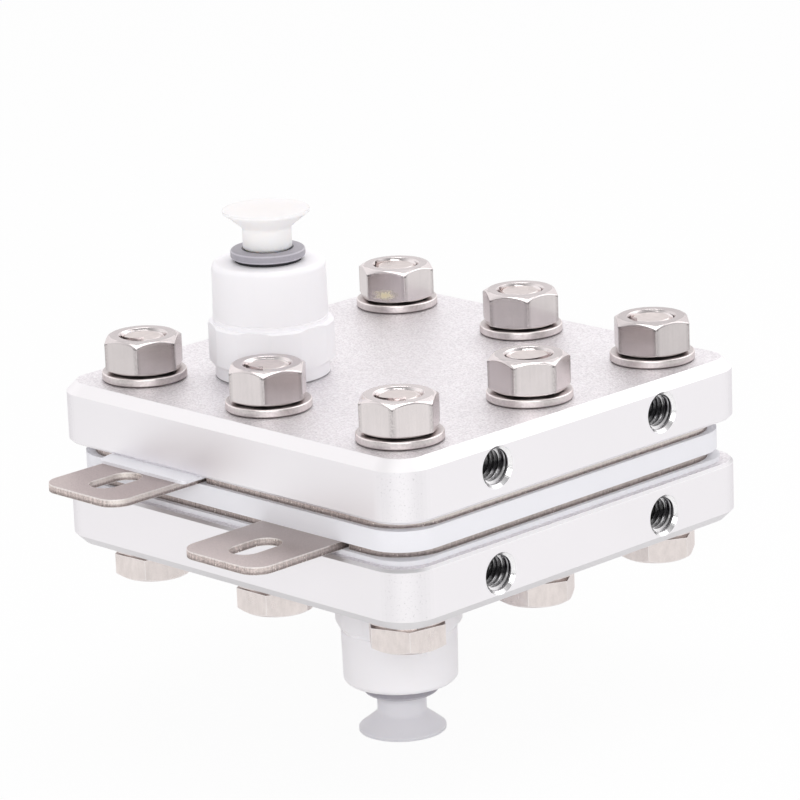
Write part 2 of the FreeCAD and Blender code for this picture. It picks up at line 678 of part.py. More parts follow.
def release_collet(label):
    """Makes the collet: a flange to press, a sleeve, and four barbed fingers with teeth seats."""
    body = new_body(label)
    bore = "Sizes.plug_stem / 2 + Sizes.plug_stem_gap"
    sleeve = "Sizes.collet_sleeve / 2"
    finger = "Sizes.collet_finger / 2"
    nose = "Sizes.collet_nose"
    barb = f"{nose} + Sizes.collet_barb"
    tooth = f"{bore} + Sizes.tooth_reach"
    tooth_low = f"{nose} + Sizes.tooth_height"
    tooth_high = f"{nose} + 2 * Sizes.tooth_height"
    outline = new_sketch(body, "outline", "XZ_Plane")
    add_outline(
        outline,
        (
            (bore, nose),
            (sleeve, nose),
            (finger, f"{nose} + {finger} - {sleeve}"),
            (finger, barb),
            (sleeve, f"{barb} + {finger} - {sleeve}"),
            (sleeve, FLANGE_FOOT),
            ("Sizes.collet_flange / 2", FLANGE_FOOT),
            ("Sizes.collet_flange / 2", FLANGE_TOP),
            (bore, FLANGE_TOP),
            (bore, tooth_high),
            (tooth, tooth_high),
            (tooth, tooth_low),
            (bore, tooth_low),
        ),
    )
    shape = turned(body, outline)
    rim = value_of(body, "Sizes.collet_flange") / 2
    dress(
        body,
        "Fillet",
        shape,
        "Sizes.collet_rounding",
        lambda edge: abs(edge.BoundBox.XMax - rim) < EPS and edge.BoundBox.ZLength < EPS,
    )
    return slit_fingers(body, "Sizes.finger_length", nose)


def grip_teeth(label):
    """Makes the steel teeth that sit in the collet's fingers."""
    body = new_body(label)
    body.AllowCompound = True
    bore = "Sizes.plug_stem / 2 + Sizes.plug_stem_gap"
    low = "Sizes.collet_nose + Sizes.tooth_height"
    high = "Sizes.collet_nose + 2 * Sizes.tooth_height"
    outline = new_sketch(body, "outline", "XZ_Plane")
    edge = "Sizes.plug_stem / 2 + Sizes.plug_stem_gap / 4"
    back = f"{bore} + Sizes.tooth_reach"
    add_outline(outline, ((edge, low), (bore, low), (back, low), (back, high), (bore, high)))
    turned(body, outline)
    return slit_fingers(body, "2 * Sizes.tooth_height", "Sizes.collet_nose")


def blanking_plug(label):
    """Makes the plug: a stem in the tube's place, a neck, and a flared lip."""
    body = new_body(label)
    stem = "Sizes.plug_stem / 2"
    neck = "Sizes.plug_neck / 2"
    shoulder = f"{FLANGE_TOP} + Sizes.plug_neck_gap"
    lip_foot = "Sizes.plug_height - Sizes.plug_lip_height"
    cone_foot = f"{lip_foot} - Sizes.plug_cone_height"
    outline = new_sketch(body, "outline", "XZ_Plane")
    add_outline(
        outline,
        (
            ("0", "Sizes.tube_stop"),
            (stem, "Sizes.tube_stop"),
            (stem, shoulder),
            (neck, shoulder),
            (neck, cone_foot),
            ("Sizes.plug_lip / 2", lip_foot),
            ("Sizes.plug_lip / 2", "Sizes.plug_height"),
            ("0", "Sizes.plug_height"),
        ),
    )
    shape = turned(body, outline)
    foot = value_of(body, cone_foot)
    dress(body, "Fillet", shape, "Sizes.plug_rounding", lies_at(foot))
    return body


def seal_ring(label, middle_radius, section, height):
    """Makes a rubber ring about the fitting's axis, with its middle at a height."""
    seal = doc.addObject("Part::Torus", label)
    seal.Label = label
    seal.setExpression("Radius1", middle_radius)
    seal.setExpression("Radius2", f"{section} / 2")
    return seal, height


def fitting(side, port_x, port_y, turn):
    """Makes a whole fitting and stands it on its end plate's outer face."""
    flipped = side == "lower"
    way = -1 if flipped else 1
    face = f"{way} * {TOTAL} / 2"
    base_seal = "(Sizes.stub_diameter / 2 + Sizes.seal_groove_width / 2)"
    stem_seal = "(Sizes.plug_stem / 2 + Sizes.tube_seal_section / 2)"
    seat_middle = "(Sizes.tube_seal_floor + Sizes.tube_seal_section / 2)"
    pieces = [
        (fitting_body(f"{side}_fitting_body", turn), "0"),
        (release_collet(f"{side}_release_collet"), "0"),
        (grip_teeth(f"{side}_grip_teeth"), "0"),
        (blanking_plug(f"{side}_blanking_plug"), "0"),
        seal_ring(f"{side}_tube_seal", stem_seal, "Sizes.tube_seal_section", seat_middle),
        seal_ring(
            f"{side}_port_seal", base_seal, "Sizes.seal_groove_depth", "Sizes.seal_groove_depth / 2"
        ),
    ]
    return [
        place(piece, port_x, port_y, f"{face} + {way} * {height}", flipped) for piece, height in pieces
    ]


def clamped_stack():
    """Makes the end plates and all the layers between them."""
    mirrored_port_y = "-Sizes.lower_port_y"
    insulation = "Sizes.gasket_corner_radius"
    terminal = (
        "Sizes.terminal_thickness",
        "Sizes.terminal_corner_radius",
        "Sizes.terminal_inset",
    )
    frame = ("Sizes.frame_thickness", "Sizes.frame_corner_radius")
    lower_plate = end_plate("lower_end_plate", "Sizes.lower_port_x", mirrored_port_y)
    lower_gasket = stack_layer("lower_insulating_gasket", "Sizes.lower_gasket_thickness", insulation)
    lower_terminal = stack_layer("lower_terminal_plate", *terminal)
    lower_frame = cut_window(stack_layer("lower_frame_gasket", *frame))
    membrane = stack_layer(
        "membrane", "Sizes.membrane_thickness", "Sizes.frame_corner_radius", "Sizes.membrane_inset"
    )
    upper_frame = cut_window(stack_layer("upper_frame_gasket", *frame))
    upper_terminal = stack_layer("upper_terminal_plate", *terminal)
    upper_gasket = stack_layer("upper_insulating_gasket", "Sizes.upper_gasket_thickness", insulation)
    upper_plate = end_plate("upper_end_plate", "Sizes.upper_port_x", "Sizes.upper_port_y")
    for body in (lower_gasket, lower_terminal):
        drill_passage(body, "Sizes.lower_port_x", "Sizes.lower_port_y")
    for body in (upper_gasket, upper_terminal):
        drill_passage(body, "Sizes.upper_port_x", "Sizes.upper_port_y")
    add_tab(lower_terminal, "Sizes.lower_tab_place")
    add_tab(upper_terminal, "Sizes.upper_tab_place")
    add_tongue(upper_gasket)
    layers = (
        lower_gasket,
        lower_terminal,
        lower_frame,
        membrane,
        upper_frame,
        upper_terminal,
        upper_gasket,
        upper_plate,
    )
    placed = [place(body, "0", "0", level(body.Label)) for body in layers]
    placed.append(place(lower_plate, "0", "0", level("lower_insulating_gasket"), flipped=True))
    placed.append(place(felt("anode_felt"), "0", "0", level("upper_frame_gasket")))
    placed.append(place(felt("cathode_diffusion_layer"), "0", "0", level("lower_frame_gasket")))
    return placed


def fasteners():
    """Makes the bolts with their nuts, washers and insulating sleeves."""
    gap = "(" + " + ".join(f"Sizes.{thickness}" for _, thickness in STACK[1:-1]) + ")"
    washer = washer_pattern()
    bolt = bolt_pattern()
    nut = nut_pattern()
    sleeve = ring("sleeve", "Sizes.sleeve_outside", "Sizes.sleeve_bore", gap)
    nut_turns = [turn for _, _, turn, _ in BOLTS]
    head_turns = [turn for _, _, _, turn in BOLTS]
    level_turns = [0.0] * len(BOLTS)
    top = f"{TOTAL} / 2"
    foot = f"-{TOTAL} / 2 - Sizes.washer_thickness"
    return [
        at_every_bolt("hex_bolts", bolt, foot, head_turns),
        at_every_bolt("hex_nuts", nut, f"{top} + Sizes.washer_thickness", nut_turns),
        at_every_bolt("nut_washers", washer, top, level_turns),
        at_every_bolt("head_washers", washer, foot, level_turns),
        at_every_bolt("bolt_sleeves", sleeve, level("lower_insulating_gasket"), level_turns),
    ]


def write_parts(pieces):
    """Checks every piece of the document and writes each sub-part to its own file."""
    doc.recompute()
    for item in doc.Objects:
        if "Invalid" in item.State or "Error" in item.State:
            raise RuntimeError(f"{item.Label} failed: {item.State}")
    os.makedirs("parts", exist_ok=True)
    for piece in pieces:
        if piece.Shape.isNull() or not piece.Shape.isValid():
            raise RuntimeError(f"{piece.Label} has no valid shape")
        piece.Shape.exportStep(f"parts/{piece.Label}.step")
        print(piece.Label, len(piece.Shape.Solids), round(piece.Shape.Volume, 2))


write_parts(
    clamped_stack()
    + fasteners()
    + fitting("upper", "Sizes.upper_port_x", "Sizes.upper_port_y", "Sizes.upper_collar_turn")
    + fitting("lower", "Sizes.lower_port_x", "Sizes.lower_port_y", "Sizes.lower_collar_turn")
)
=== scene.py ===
import json
import math

import bmesh
import bpy
from mathutils import Matrix, Vector


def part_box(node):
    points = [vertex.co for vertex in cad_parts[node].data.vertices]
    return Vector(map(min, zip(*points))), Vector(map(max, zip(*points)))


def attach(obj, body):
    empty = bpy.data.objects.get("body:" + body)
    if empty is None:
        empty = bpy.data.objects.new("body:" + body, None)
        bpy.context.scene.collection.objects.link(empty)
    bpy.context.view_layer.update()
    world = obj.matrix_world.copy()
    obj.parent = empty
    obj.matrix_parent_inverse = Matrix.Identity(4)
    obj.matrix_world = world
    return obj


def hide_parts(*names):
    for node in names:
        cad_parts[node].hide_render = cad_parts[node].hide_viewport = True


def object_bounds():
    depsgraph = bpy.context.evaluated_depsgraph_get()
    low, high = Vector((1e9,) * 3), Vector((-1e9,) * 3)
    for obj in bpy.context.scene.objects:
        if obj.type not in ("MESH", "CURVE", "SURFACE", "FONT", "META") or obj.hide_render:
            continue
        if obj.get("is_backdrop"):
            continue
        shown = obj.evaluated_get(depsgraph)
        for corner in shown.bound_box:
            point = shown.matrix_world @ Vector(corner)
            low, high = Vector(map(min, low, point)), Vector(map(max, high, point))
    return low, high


# Dresses the electrolyzer cell. Lengths are in metres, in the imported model's frame: the cell's
# axis is upright, the terminal tabs point along -Y and the threaded side holes along +X. The
# middle of the stack is at z = 0, so the lower half of the cell is below it.

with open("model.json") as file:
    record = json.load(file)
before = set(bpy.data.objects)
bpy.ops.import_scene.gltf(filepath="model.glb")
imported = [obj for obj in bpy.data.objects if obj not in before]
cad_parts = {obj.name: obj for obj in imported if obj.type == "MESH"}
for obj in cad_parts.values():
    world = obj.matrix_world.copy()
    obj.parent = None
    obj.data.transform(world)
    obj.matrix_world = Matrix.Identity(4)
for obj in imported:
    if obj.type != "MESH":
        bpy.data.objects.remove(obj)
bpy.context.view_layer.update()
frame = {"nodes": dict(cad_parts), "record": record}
nodes = frame["nodes"]

MM = 0.001
CELL = "cell"

# Sizes and places read from the frame
plate_low, plate_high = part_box("upper_end_plate")
_, under_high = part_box("lower_end_plate")
washer_low, washer_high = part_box("nut_washers")
upper_sheet_low, upper_sheet_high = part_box("upper_terminal_plate")
lower_sheet_low, lower_sheet_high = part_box("lower_terminal_plate")
nut_low, nut_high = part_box("hex_nuts")
AXIS = Vector(((plate_low[0] + plate_high[0]) / 2, (plate_low[1] + plate_high[1]) / 2, 0.0))
PLATE_TOP = plate_high[2]
PLATE_FRONT = plate_low[1]
UNDER_TOP = under_high[2]
TAB_TIP = upper_sheet_low[1]
WASHER_RADIUS = 6.0 * MM
BOLT_REACH = (washer_high[0] - washer_low[0]) / 2 - WASHER_RADIUS
NUT_FOOT = nut_low[2]
NUT_HEIGHT = nut_high[2] - nut_low[2]

# Nuts and washers; slopes in degrees
NUT_FLATS = 10.0 * MM
NUT_BORE = 6.0 * MM
NUT_MOUTH = 0.42 * MM
NUT_SOFTNESS = 0.07 * MM
NUT_TOP_RADIUS = 4.72 * MM
NUT_TOP_SLOPE = 34.0
NUT_FOOT_RADIUS = 4.4 * MM
NUT_FOOT_SLOPE = 21.0
HEX_CORNER_ROUNDING = 0.28 * MM
WASHER_BORE = 6.4 * MM
WASHER_ROLL = 0.24 * MM
WASHER_FOOT = 0.14 * MM

# Threads
NUT_THREAD_PITCH = 1.0 * MM
NUT_THREAD_CREST = 2.72 * MM
NUT_THREAD_ROOT = 3.05 * MM
NUT_THREAD_TURNS = 1.1
NUT_THREAD_DEPTH = 0.15 * MM
SIDE_THREAD_PITCH = 0.8 * MM
SIDE_THREAD_CREST = 2.14 * MM
SIDE_THREAD_LENGTH = 9.5 * MM
SIDE_COUNTERSINK = 0.45 * MM
SIDE_HOLE_GAP = 0.015 * MM

# One turn of a side hole's thread: share of the pitch, and how much painted shade lies there (full in the
# root, none on the crest)
SIDE_THREAD_PROFILE = ((0.0, 1.0), (0.3, 1.0), (0.36, 0.1), (0.5, 0.0), (0.62, 0.0), (0.68, 1.0))
SIDE_THREAD_CREST_SHARES = (0.5, 0.62)

# The shaded band in a side hole: where it lies at the mouth, how far it turns with each
# millimetre of depth, how far it reaches and fades to either side (all in degrees), its darkness
GLOOM_MIDDLE = 84.0
GLOOM_TURN = 11.0
GLOOM_REACH = 24.0
GLOOM_FADE = 12.0
GLOOM_SHARE = 0.85

# Corners of the frame gaskets, and the blanking plugs' necks
FRAME_CORNER_RADIUS = 6.0 * MM
PLUG_NECK_RADIUS = 3.45 * MM

# Marks that handling has left on the metal
PAINT_SPOT = Vector((-57.7, 20.65, 14.35)) * MM
SCRATCH_MIDDLE = Vector((-36.96, 10.6, 11.75)) * MM

# Each bolt's column, row, how far its nut is turned in degrees, and how far the nut's colour is darkened
NUTS = (
    (-1, -1, 7.9, 0.14),
    (0, -1, 10.8, 0.04),
    (1, -1, 5.2, 0.0),
    (1, 0, -8.7, 0.1),
    (1, 1, 17.8, 0.22),
    (0, 1, 23.9, 0.1),
    (-1, 1, 27.4, 0.05),
    (-1, 0, 12.0, 0.1),
)

# Where most values of a noise texture lie, and their middle
NOISE_LOW = 0.3
NOISE_HIGH = 0.7
NOISE_MIDDLE = 0.5

WHITE = (1.0, 1.0, 1.0, 1.0)
BLACK = (0.0, 0.0, 0.0, 1.0)

# The studio's walls: their brightness in front, behind, overhead and in the dark patch that a
# camera's body makes on the front wall, and the ways to the back and to that patch
FRONT_GLOW = 0.3
BACK_GLOW = 1.08
CEILING_GLOW = 0.65
PATCH_GLOW = 0.2
BACK_WAY = (-0.707, 0.707, 0.0)
PATCH_WAY = (0.683, -0.678, 0.271)
WALL_COLOR = (1.0, 0.985, 0.995, 1.0)

# The studio's lamps: azimuth, elevation, distance, side of the square, brightness of its face
SOFTBOXES = {
    "left_front_softbox": (302.0, 21.0, 0.9, 0.4, 3.4),
    "right_front_softbox": (328.0, 21.0, 0.9, 0.4, 3.4),
    "overhead_softbox": (135.0, 86.0, 0.8, 0.5, 1.8),
    "right_softbox": (68.0, 43.0, 0.9, 0.7, 0.72),
}

# The studio's floor: how far it reaches, its gap under the part, its colour, and how much of
# it shows as plain white to the camera and in reflections
FLOOR_REACH = 2.5
FLOOR_GAP = 0.02 * MM
FLOOR_COLOR = (0.86, 0.86, 0.86, 1.0)
FLOOR_SEEN_WHITE = 0.94
FLOOR_MIRRORED_WHITE = 0.7

# Camera, fitted to the photograph
CAMERA_AZIMUTH = 45.234
CAMERA_ELEVATION = 15.741
CAMERA_ROLL = -2.153
CAMERA_DISTANCE = 618.76 * MM
CAMERA_AIM = Vector((-34.58, 0.02, 7.0)) * MM
FOCAL_PIXELS = 4398.0
PICTURE_PIXELS = 800.0
SENSOR_WIDTH = 36.0


def feed(tree, socket, value):
    """Links a result to a socket, or sets a plain value on it."""
    if isinstance(value, bpy.types.NodeSocket):
        tree.links.new(value, socket)
    else:
        socket.default_value = value


def node(tree, kind, inputs=None, **settings):
    """Adds a shader node, sets its properties, and fills or links its inputs."""
    item = tree.nodes.new(kind)
    for name, value in settings.items():
        setattr(item, name, value)
    for name, value in (inputs or {}).items():
        feed(tree, item.inputs[name], value)
    return item


def math_node(tree, operation, first, second=0.0, clamp=False):
    """Adds one sum and gives its result."""
    item = node(tree, "ShaderNodeMath", {0: first, 1: second}, operation=operation, use_clamp=clamp)
    return item.outputs[0]


def times(tree, first, second, clamp=False):
    """Multiplies two values."""
    return math_node(tree, "MULTIPLY", first, second, clamp)


def vector_node(tree, operation, first, second=(0.0, 0.0, 0.0)):
    """Adds one vector sum and gives its result."""
    item = node(tree, "ShaderNodeVectorMath", {0: first, 1: second}, operation=operation)
    return item.outputs["Value" if operation in ("DOT_PRODUCT", "LENGTH", "DISTANCE") else "Vector"]


def mix_color(tree, factor, first, second, blend="MIX"):
    """Mixes two colours and gives the result."""
    item = node(tree, "ShaderNodeMix", data_type="RGBA", blend_type=blend)
    for index, value in ((0, factor), (6, first), (7, second)):
        feed(tree, item.inputs[index], value)
    return item.outputs[2]


def map_range(tree, value, low, high, result_low=0.0, result_high=1.0):
    """Maps one range of values to another, and holds what is outside at its ends."""
    given = {0: value, 1: low, 2: high, 3: result_low, 4: result_high}
    return node(tree, "ShaderNodeMapRange", given).outputs[0]


def tone_range(tree, value, low, high):
    """Spreads a noise value over a range of tones."""
    return map_range(tree, value, NOISE_LOW, NOISE_HIGH, low, high)


def object_place(tree):
    """Gives the place on the piece."""
    return node(tree, "ShaderNodeTexCoord").outputs["Object"]


def split(tree, vector):
    """Gives the x, y and z of a vector."""
    return node(tree, "ShaderNodeSeparateXYZ", {0: vector}).outputs


def noise(tree, place, scale, detail=2.0, roughness=0.5):
    """Gives a noise value at a place."""
    given = {"Vector": place, "Scale": scale, "Detail": detail, "Roughness": roughness}
    return node(tree, "ShaderNodeTexNoise", given).outputs["Fac"]


def point_mask(tree, name):
    """Gives the mask that a mesh carries on its points."""
    return node(tree, "ShaderNodeAttribute", attribute_name=name).outputs["Fac"]


def grey(tone):
    """Gives a grey as a colour."""
    return (tone, tone, tone, 1.0)


def new_group(name, inputs, outputs):
    """Starts a shader node group, from its inputs' usual values and its outputs' names."""
    group = bpy.data.node_groups.new(name, "ShaderNodeTree")
    for label, value in inputs.items():
        kind = "NodeSocketVector" if isinstance(value, tuple) else "NodeSocketFloat"
        socket = group.interface.new_socket(label, in_out="INPUT", socket_type=kind)
        socket.default_value = value
    for label in outputs:
        group.interface.new_socket(label, in_out="OUTPUT", socket_type="NodeSocketFloat")
    return group, node(group, "NodeGroupInput").outputs, node(group, "NodeGroupOutput")


def finish_group(group, output, values):
    """Links the group's results to its outputs."""
    for label, value in values.items():
        group.links.new(value, output.inputs[label])
    return group


def facing_group():
    """Masks for the faces that lie flat, slope, or turn round an upright corner."""
    group, _, output = new_group("facing", {}, ("Flat", "Slope", "Corner"))
    flat_from = 0.93
    slope_from = 0.3
    corner_from, corner_full = 0.1, 0.35
    way_x, way_y, way_z = split(group, node(group, "ShaderNodeNewGeometry").outputs["True Normal"])
    steep = math_node(group, "ABSOLUTE", way_z)
    flat = math_node(group, "GREATER_THAN", steep, flat_from)
    tilted = math_node(group, "GREATER_THAN", steep, slope_from)
    slope = math_node(group, "SUBTRACT", tilted, flat, clamp=True)
    turned = math_node(group, "ABSOLUTE", times(group, way_x, way_y))
    corner = map_range(group, turned, corner_from, corner_full)
    corner = math_node(group, "SUBTRACT", corner, tilted, clamp=True)
    return finish_group(group, output, {"Flat": flat, "Slope": slope, "Corner": corner})


def edge_wear_and_highlight_group():
    """A mask along a piece's edges, broken up: worn edges that also carry a painted highlight."""
    group, given, output = new_group("edge_wear_and_highlight", {"Radius": 0.0002, "Amount": 1.0}, ("Mask",))
    least_wear = 0.35
    gain = 9.0
    soft = node(group, "ShaderNodeBevel", {"Radius": given["Radius"]}, samples=4).outputs[0]
    sharp = node(group, "ShaderNodeNewGeometry").outputs["True Normal"]
    agree = vector_node(group, "DOT_PRODUCT", soft, sharp)
    bend = math_node(group, "SUBTRACT", 1.0, agree, clamp=True)
    breaks = noise(group, object_place(group), 900.0)
    rough = times(group, math_node(group, "ADD", breaks, least_wear), given["Amount"])
    mask = times(group, times(group, bend, gain), rough, clamp=True)
    return finish_group(group, output, {"Mask": mask})


def grain_group():
    """Fine blasted grain: a height, a tone, and a mask of scattered facets for painted glints."""
    group, given, output = new_group(
        "blasted_grain", {"Scale": 3500.0, "Sparkle": 0.5}, ("Height", "Tone", "Glint")
    )
    facet_spacing = 0.45
    facet_reach = 0.28
    place = object_place(group)
    pits = noise(group, place, given["Scale"], 3.0, 0.65)
    spacing = times(group, given["Scale"], facet_spacing)
    cells = node(group, "ShaderNodeTexVoronoi", {"Vector": place, "Scale": spacing})
    chance = node(group, "ShaderNodeSeparateColor", {0: cells.outputs["Color"]}).outputs[0]
    near = math_node(group, "LESS_THAN", cells.outputs["Distance"], facet_reach)
    rare = math_node(group, "GREATER_THAN", chance, math_node(group, "SUBTRACT", 1.0, given["Sparkle"]))
    return finish_group(group, output, {"Height": pits, "Tone": pits, "Glint": times(group, near, rare)})


def drift_group():
    """Slow changes of tone over a surface."""
    group, given, output = new_group("tone_drift", {"Scale": 60.0, "Spread": 0.1}, ("Factor",))
    cloud = noise(group, object_place(group), given["Scale"])
    swing = times(group, math_node(group, "SUBTRACT", cloud, NOISE_MIDDLE), given["Spread"])
    return finish_group(group, output, {"Factor": math_node(group, "ADD", 1.0, swing)})


def streak_group():
    """Fine parallel streaks, as a tool or a die leaves them, squeezed by three scales."""
    group, given, output = new_group("tool_streaks", {"Squeeze": (1.0, 1.0, 1.0)}, ("Height",))
    pressed = vector_node(group, "MULTIPLY", object_place(group), given["Squeeze"])
    return finish_group(group, output, {"Height": noise(group, pressed, 1000.0)})


def spot_group():
    """A ragged blot of a given reach round a point, stretched by three scales."""
    group, given, output = new_group(
        "ragged_spot",
        {
            "Middle": (0.0, 0.0, 0.0),
            "Squeeze": (1.0, 1.0, 1.0),
            "Reach": 0.001,
            "Roughness": 0.5,
            "Core": 0.75,
        },
        ("Mask",),
    )
    raggedness = 4.0
    place = object_place(group)
    offset = vector_node(group, "SUBTRACT", place, given["Middle"])
    offset = vector_node(group, "MULTIPLY", offset, given["Squeeze"])
    share = math_node(group, "DIVIDE", vector_node(group, "LENGTH", offset), given["Reach"])
    ragged = math_node(group, "SUBTRACT", noise(group, place, 2200.0), NOISE_MIDDLE)
    ragged = times(group, ragged, given["Roughness"])
    edge = math_node(group, "ADD", share, times(group, ragged, raggedness))
    return finish_group(group, output, {"Mask": map_range(group, edge, 1.0, given["Core"])})


GROUPS = {
    "facing": facing_group(),
    "edge_wear_and_highlight": edge_wear_and_highlight_group(),
    "grain": grain_group(),
    "drift": drift_group(),
    "streaks": streak_group(),
    "spot": spot_group(),
}


def use_group(tree, name, inputs=None):
    """Places a shared effect in a material."""
    item = node(tree, "ShaderNodeGroup", node_tree=GROUPS[name])
    for label, value in (inputs or {}).items():
        item.inputs[label].default_value = value
    return item.outputs


def new_material(name, **sockets):
    """Starts a material and sets the shader's own sockets."""
    material = bpy.data.materials.new(name)
    material.use_nodes = True
    shader = material.node_tree.nodes["Principled BSDF"]
    for label, value in sockets.items():
        shader.inputs[label.replace("_", " ")].default_value = value
    return material, material.node_tree, shader


def link_surface(tree, shader, color, roughness):
    """Sends a colour and a roughness to the shader."""
    tree.links.new(color, shader.inputs["Base Color"])
    tree.links.new(roughness, shader.inputs["Roughness"])


def toned(tree, color, *factors):
    """Multiplies a plain colour by tone factors."""
    result = color
    for factor in factors:
        result = mix_color(tree, 1.0, result, factor, "MULTIPLY")
    return result


def bump(tree, shader, height, strength, depth):
    """Turns a height into relief of a real depth."""
    relief = node(tree, "ShaderNodeBump", {"Height": height, "Strength": strength, "Distance": depth})
    tree.links.new(relief.outputs[0], shader.inputs["Normal"])


def blasted_aluminium():
    """End plates: blasted outer face and fine-milled sides; a painted highlight on the upper plate's
    chamfers, painted shade on the lower plate's chamfers and on upright corners.
    """
    material, tree, shader = new_material(
        "blasted_aluminium", Metallic=1.0, Specular_Tint=(0.84, 0.83, 0.84, 1.0)
    )
    side = (0.93, 0.91, 0.93, 1.0)
    face = (0.93, 0.90, 0.92, 1.0)
    upright_corner_shade = (0.87, 0.85, 0.87, 1.0)
    upper_chamfer_highlight = (0.985, 0.97, 0.98, 1.0)
    lower_chamfer_shade = (0.82, 0.81, 0.82, 1.0)
    lower_inner_chamfer_shade = (0.66, 0.65, 0.66, 1.0)
    painted_glint = (1.0, 0.995, 1.0, 1.0)
    bright_edge = (0.97, 0.96, 0.97, 1.0)
    inner_chamfer_reach = 0.5 * MM
    facing = use_group(tree, "facing")
    grain = use_group(tree, "grain", {"Scale": 3700.0, "Sparkle": 0.42})
    drift = use_group(tree, "drift", {"Scale": 45.0, "Spread": 0.05})
    wear_and_highlight = use_group(tree, "edge_wear_and_highlight", {"Radius": 0.00022, "Amount": 0.7})
    scratch = use_group(
        tree,
        "spot",
        {"Middle": SCRATCH_MIDDLE, "Squeeze": (30.0, 1.0, 1.0), "Reach": 2.2 * MM, "Roughness": 0.25},
    )
    base = mix_color(tree, facing["Flat"], side, face)
    height = split(tree, object_place(tree))[2]
    lower_plate = math_node(tree, "LESS_THAN", height, 0.0)
    inner = math_node(tree, "GREATER_THAN", height, UNDER_TOP - inner_chamfer_reach)
    lower_tone = mix_color(tree, inner, lower_chamfer_shade, lower_inner_chamfer_shade)
    # Chamfers: a painted highlight on the upper plate's, painted shade on the lower plate's, deepest on its
    # top chamfer.
    base = mix_color(tree, facing["Slope"], base, mix_color(tree, lower_plate, upper_chamfer_highlight, lower_tone))
    # Upright corners: painted shade where they turn away.
    base = mix_color(tree, times(tree, facing["Corner"], 0.7), base, upright_corner_shade)
    speckled = mix_color(tree, facing["Flat"], WHITE, tone_range(tree, grain["Tone"], 0.76, 1.18))
    pitted = times(tree, map_range(tree, grain["Tone"], 0.6, 0.7, 0.0, 0.2), facing["Corner"])
    base = toned(tree, base, speckled, drift["Factor"], mix_color(tree, pitted, WHITE, BLACK))
    # Painted glints on the blasted face.
    base = mix_color(tree, times(tree, grain["Glint"], facing["Flat"]), base, painted_glint)
    # Edges: wear, and a painted highlight along them.
    base = mix_color(tree, wear_and_highlight["Mask"], base, bright_edge)
    base = mix_color(tree, times(tree, scratch["Mask"], 0.6), base, WHITE)
    rough = map_range(tree, facing["Flat"], 0.0, 1.0, 0.45, 0.33)
    link_surface(tree, shader, base, times(tree, rough, drift["Factor"]))
    depth = math_node(tree, "ADD", times(tree, facing["Flat"], 0.9), 0.04)
    bump(tree, shader, times(tree, grain["Height"], depth), 1.0, 0.00022)
    return material


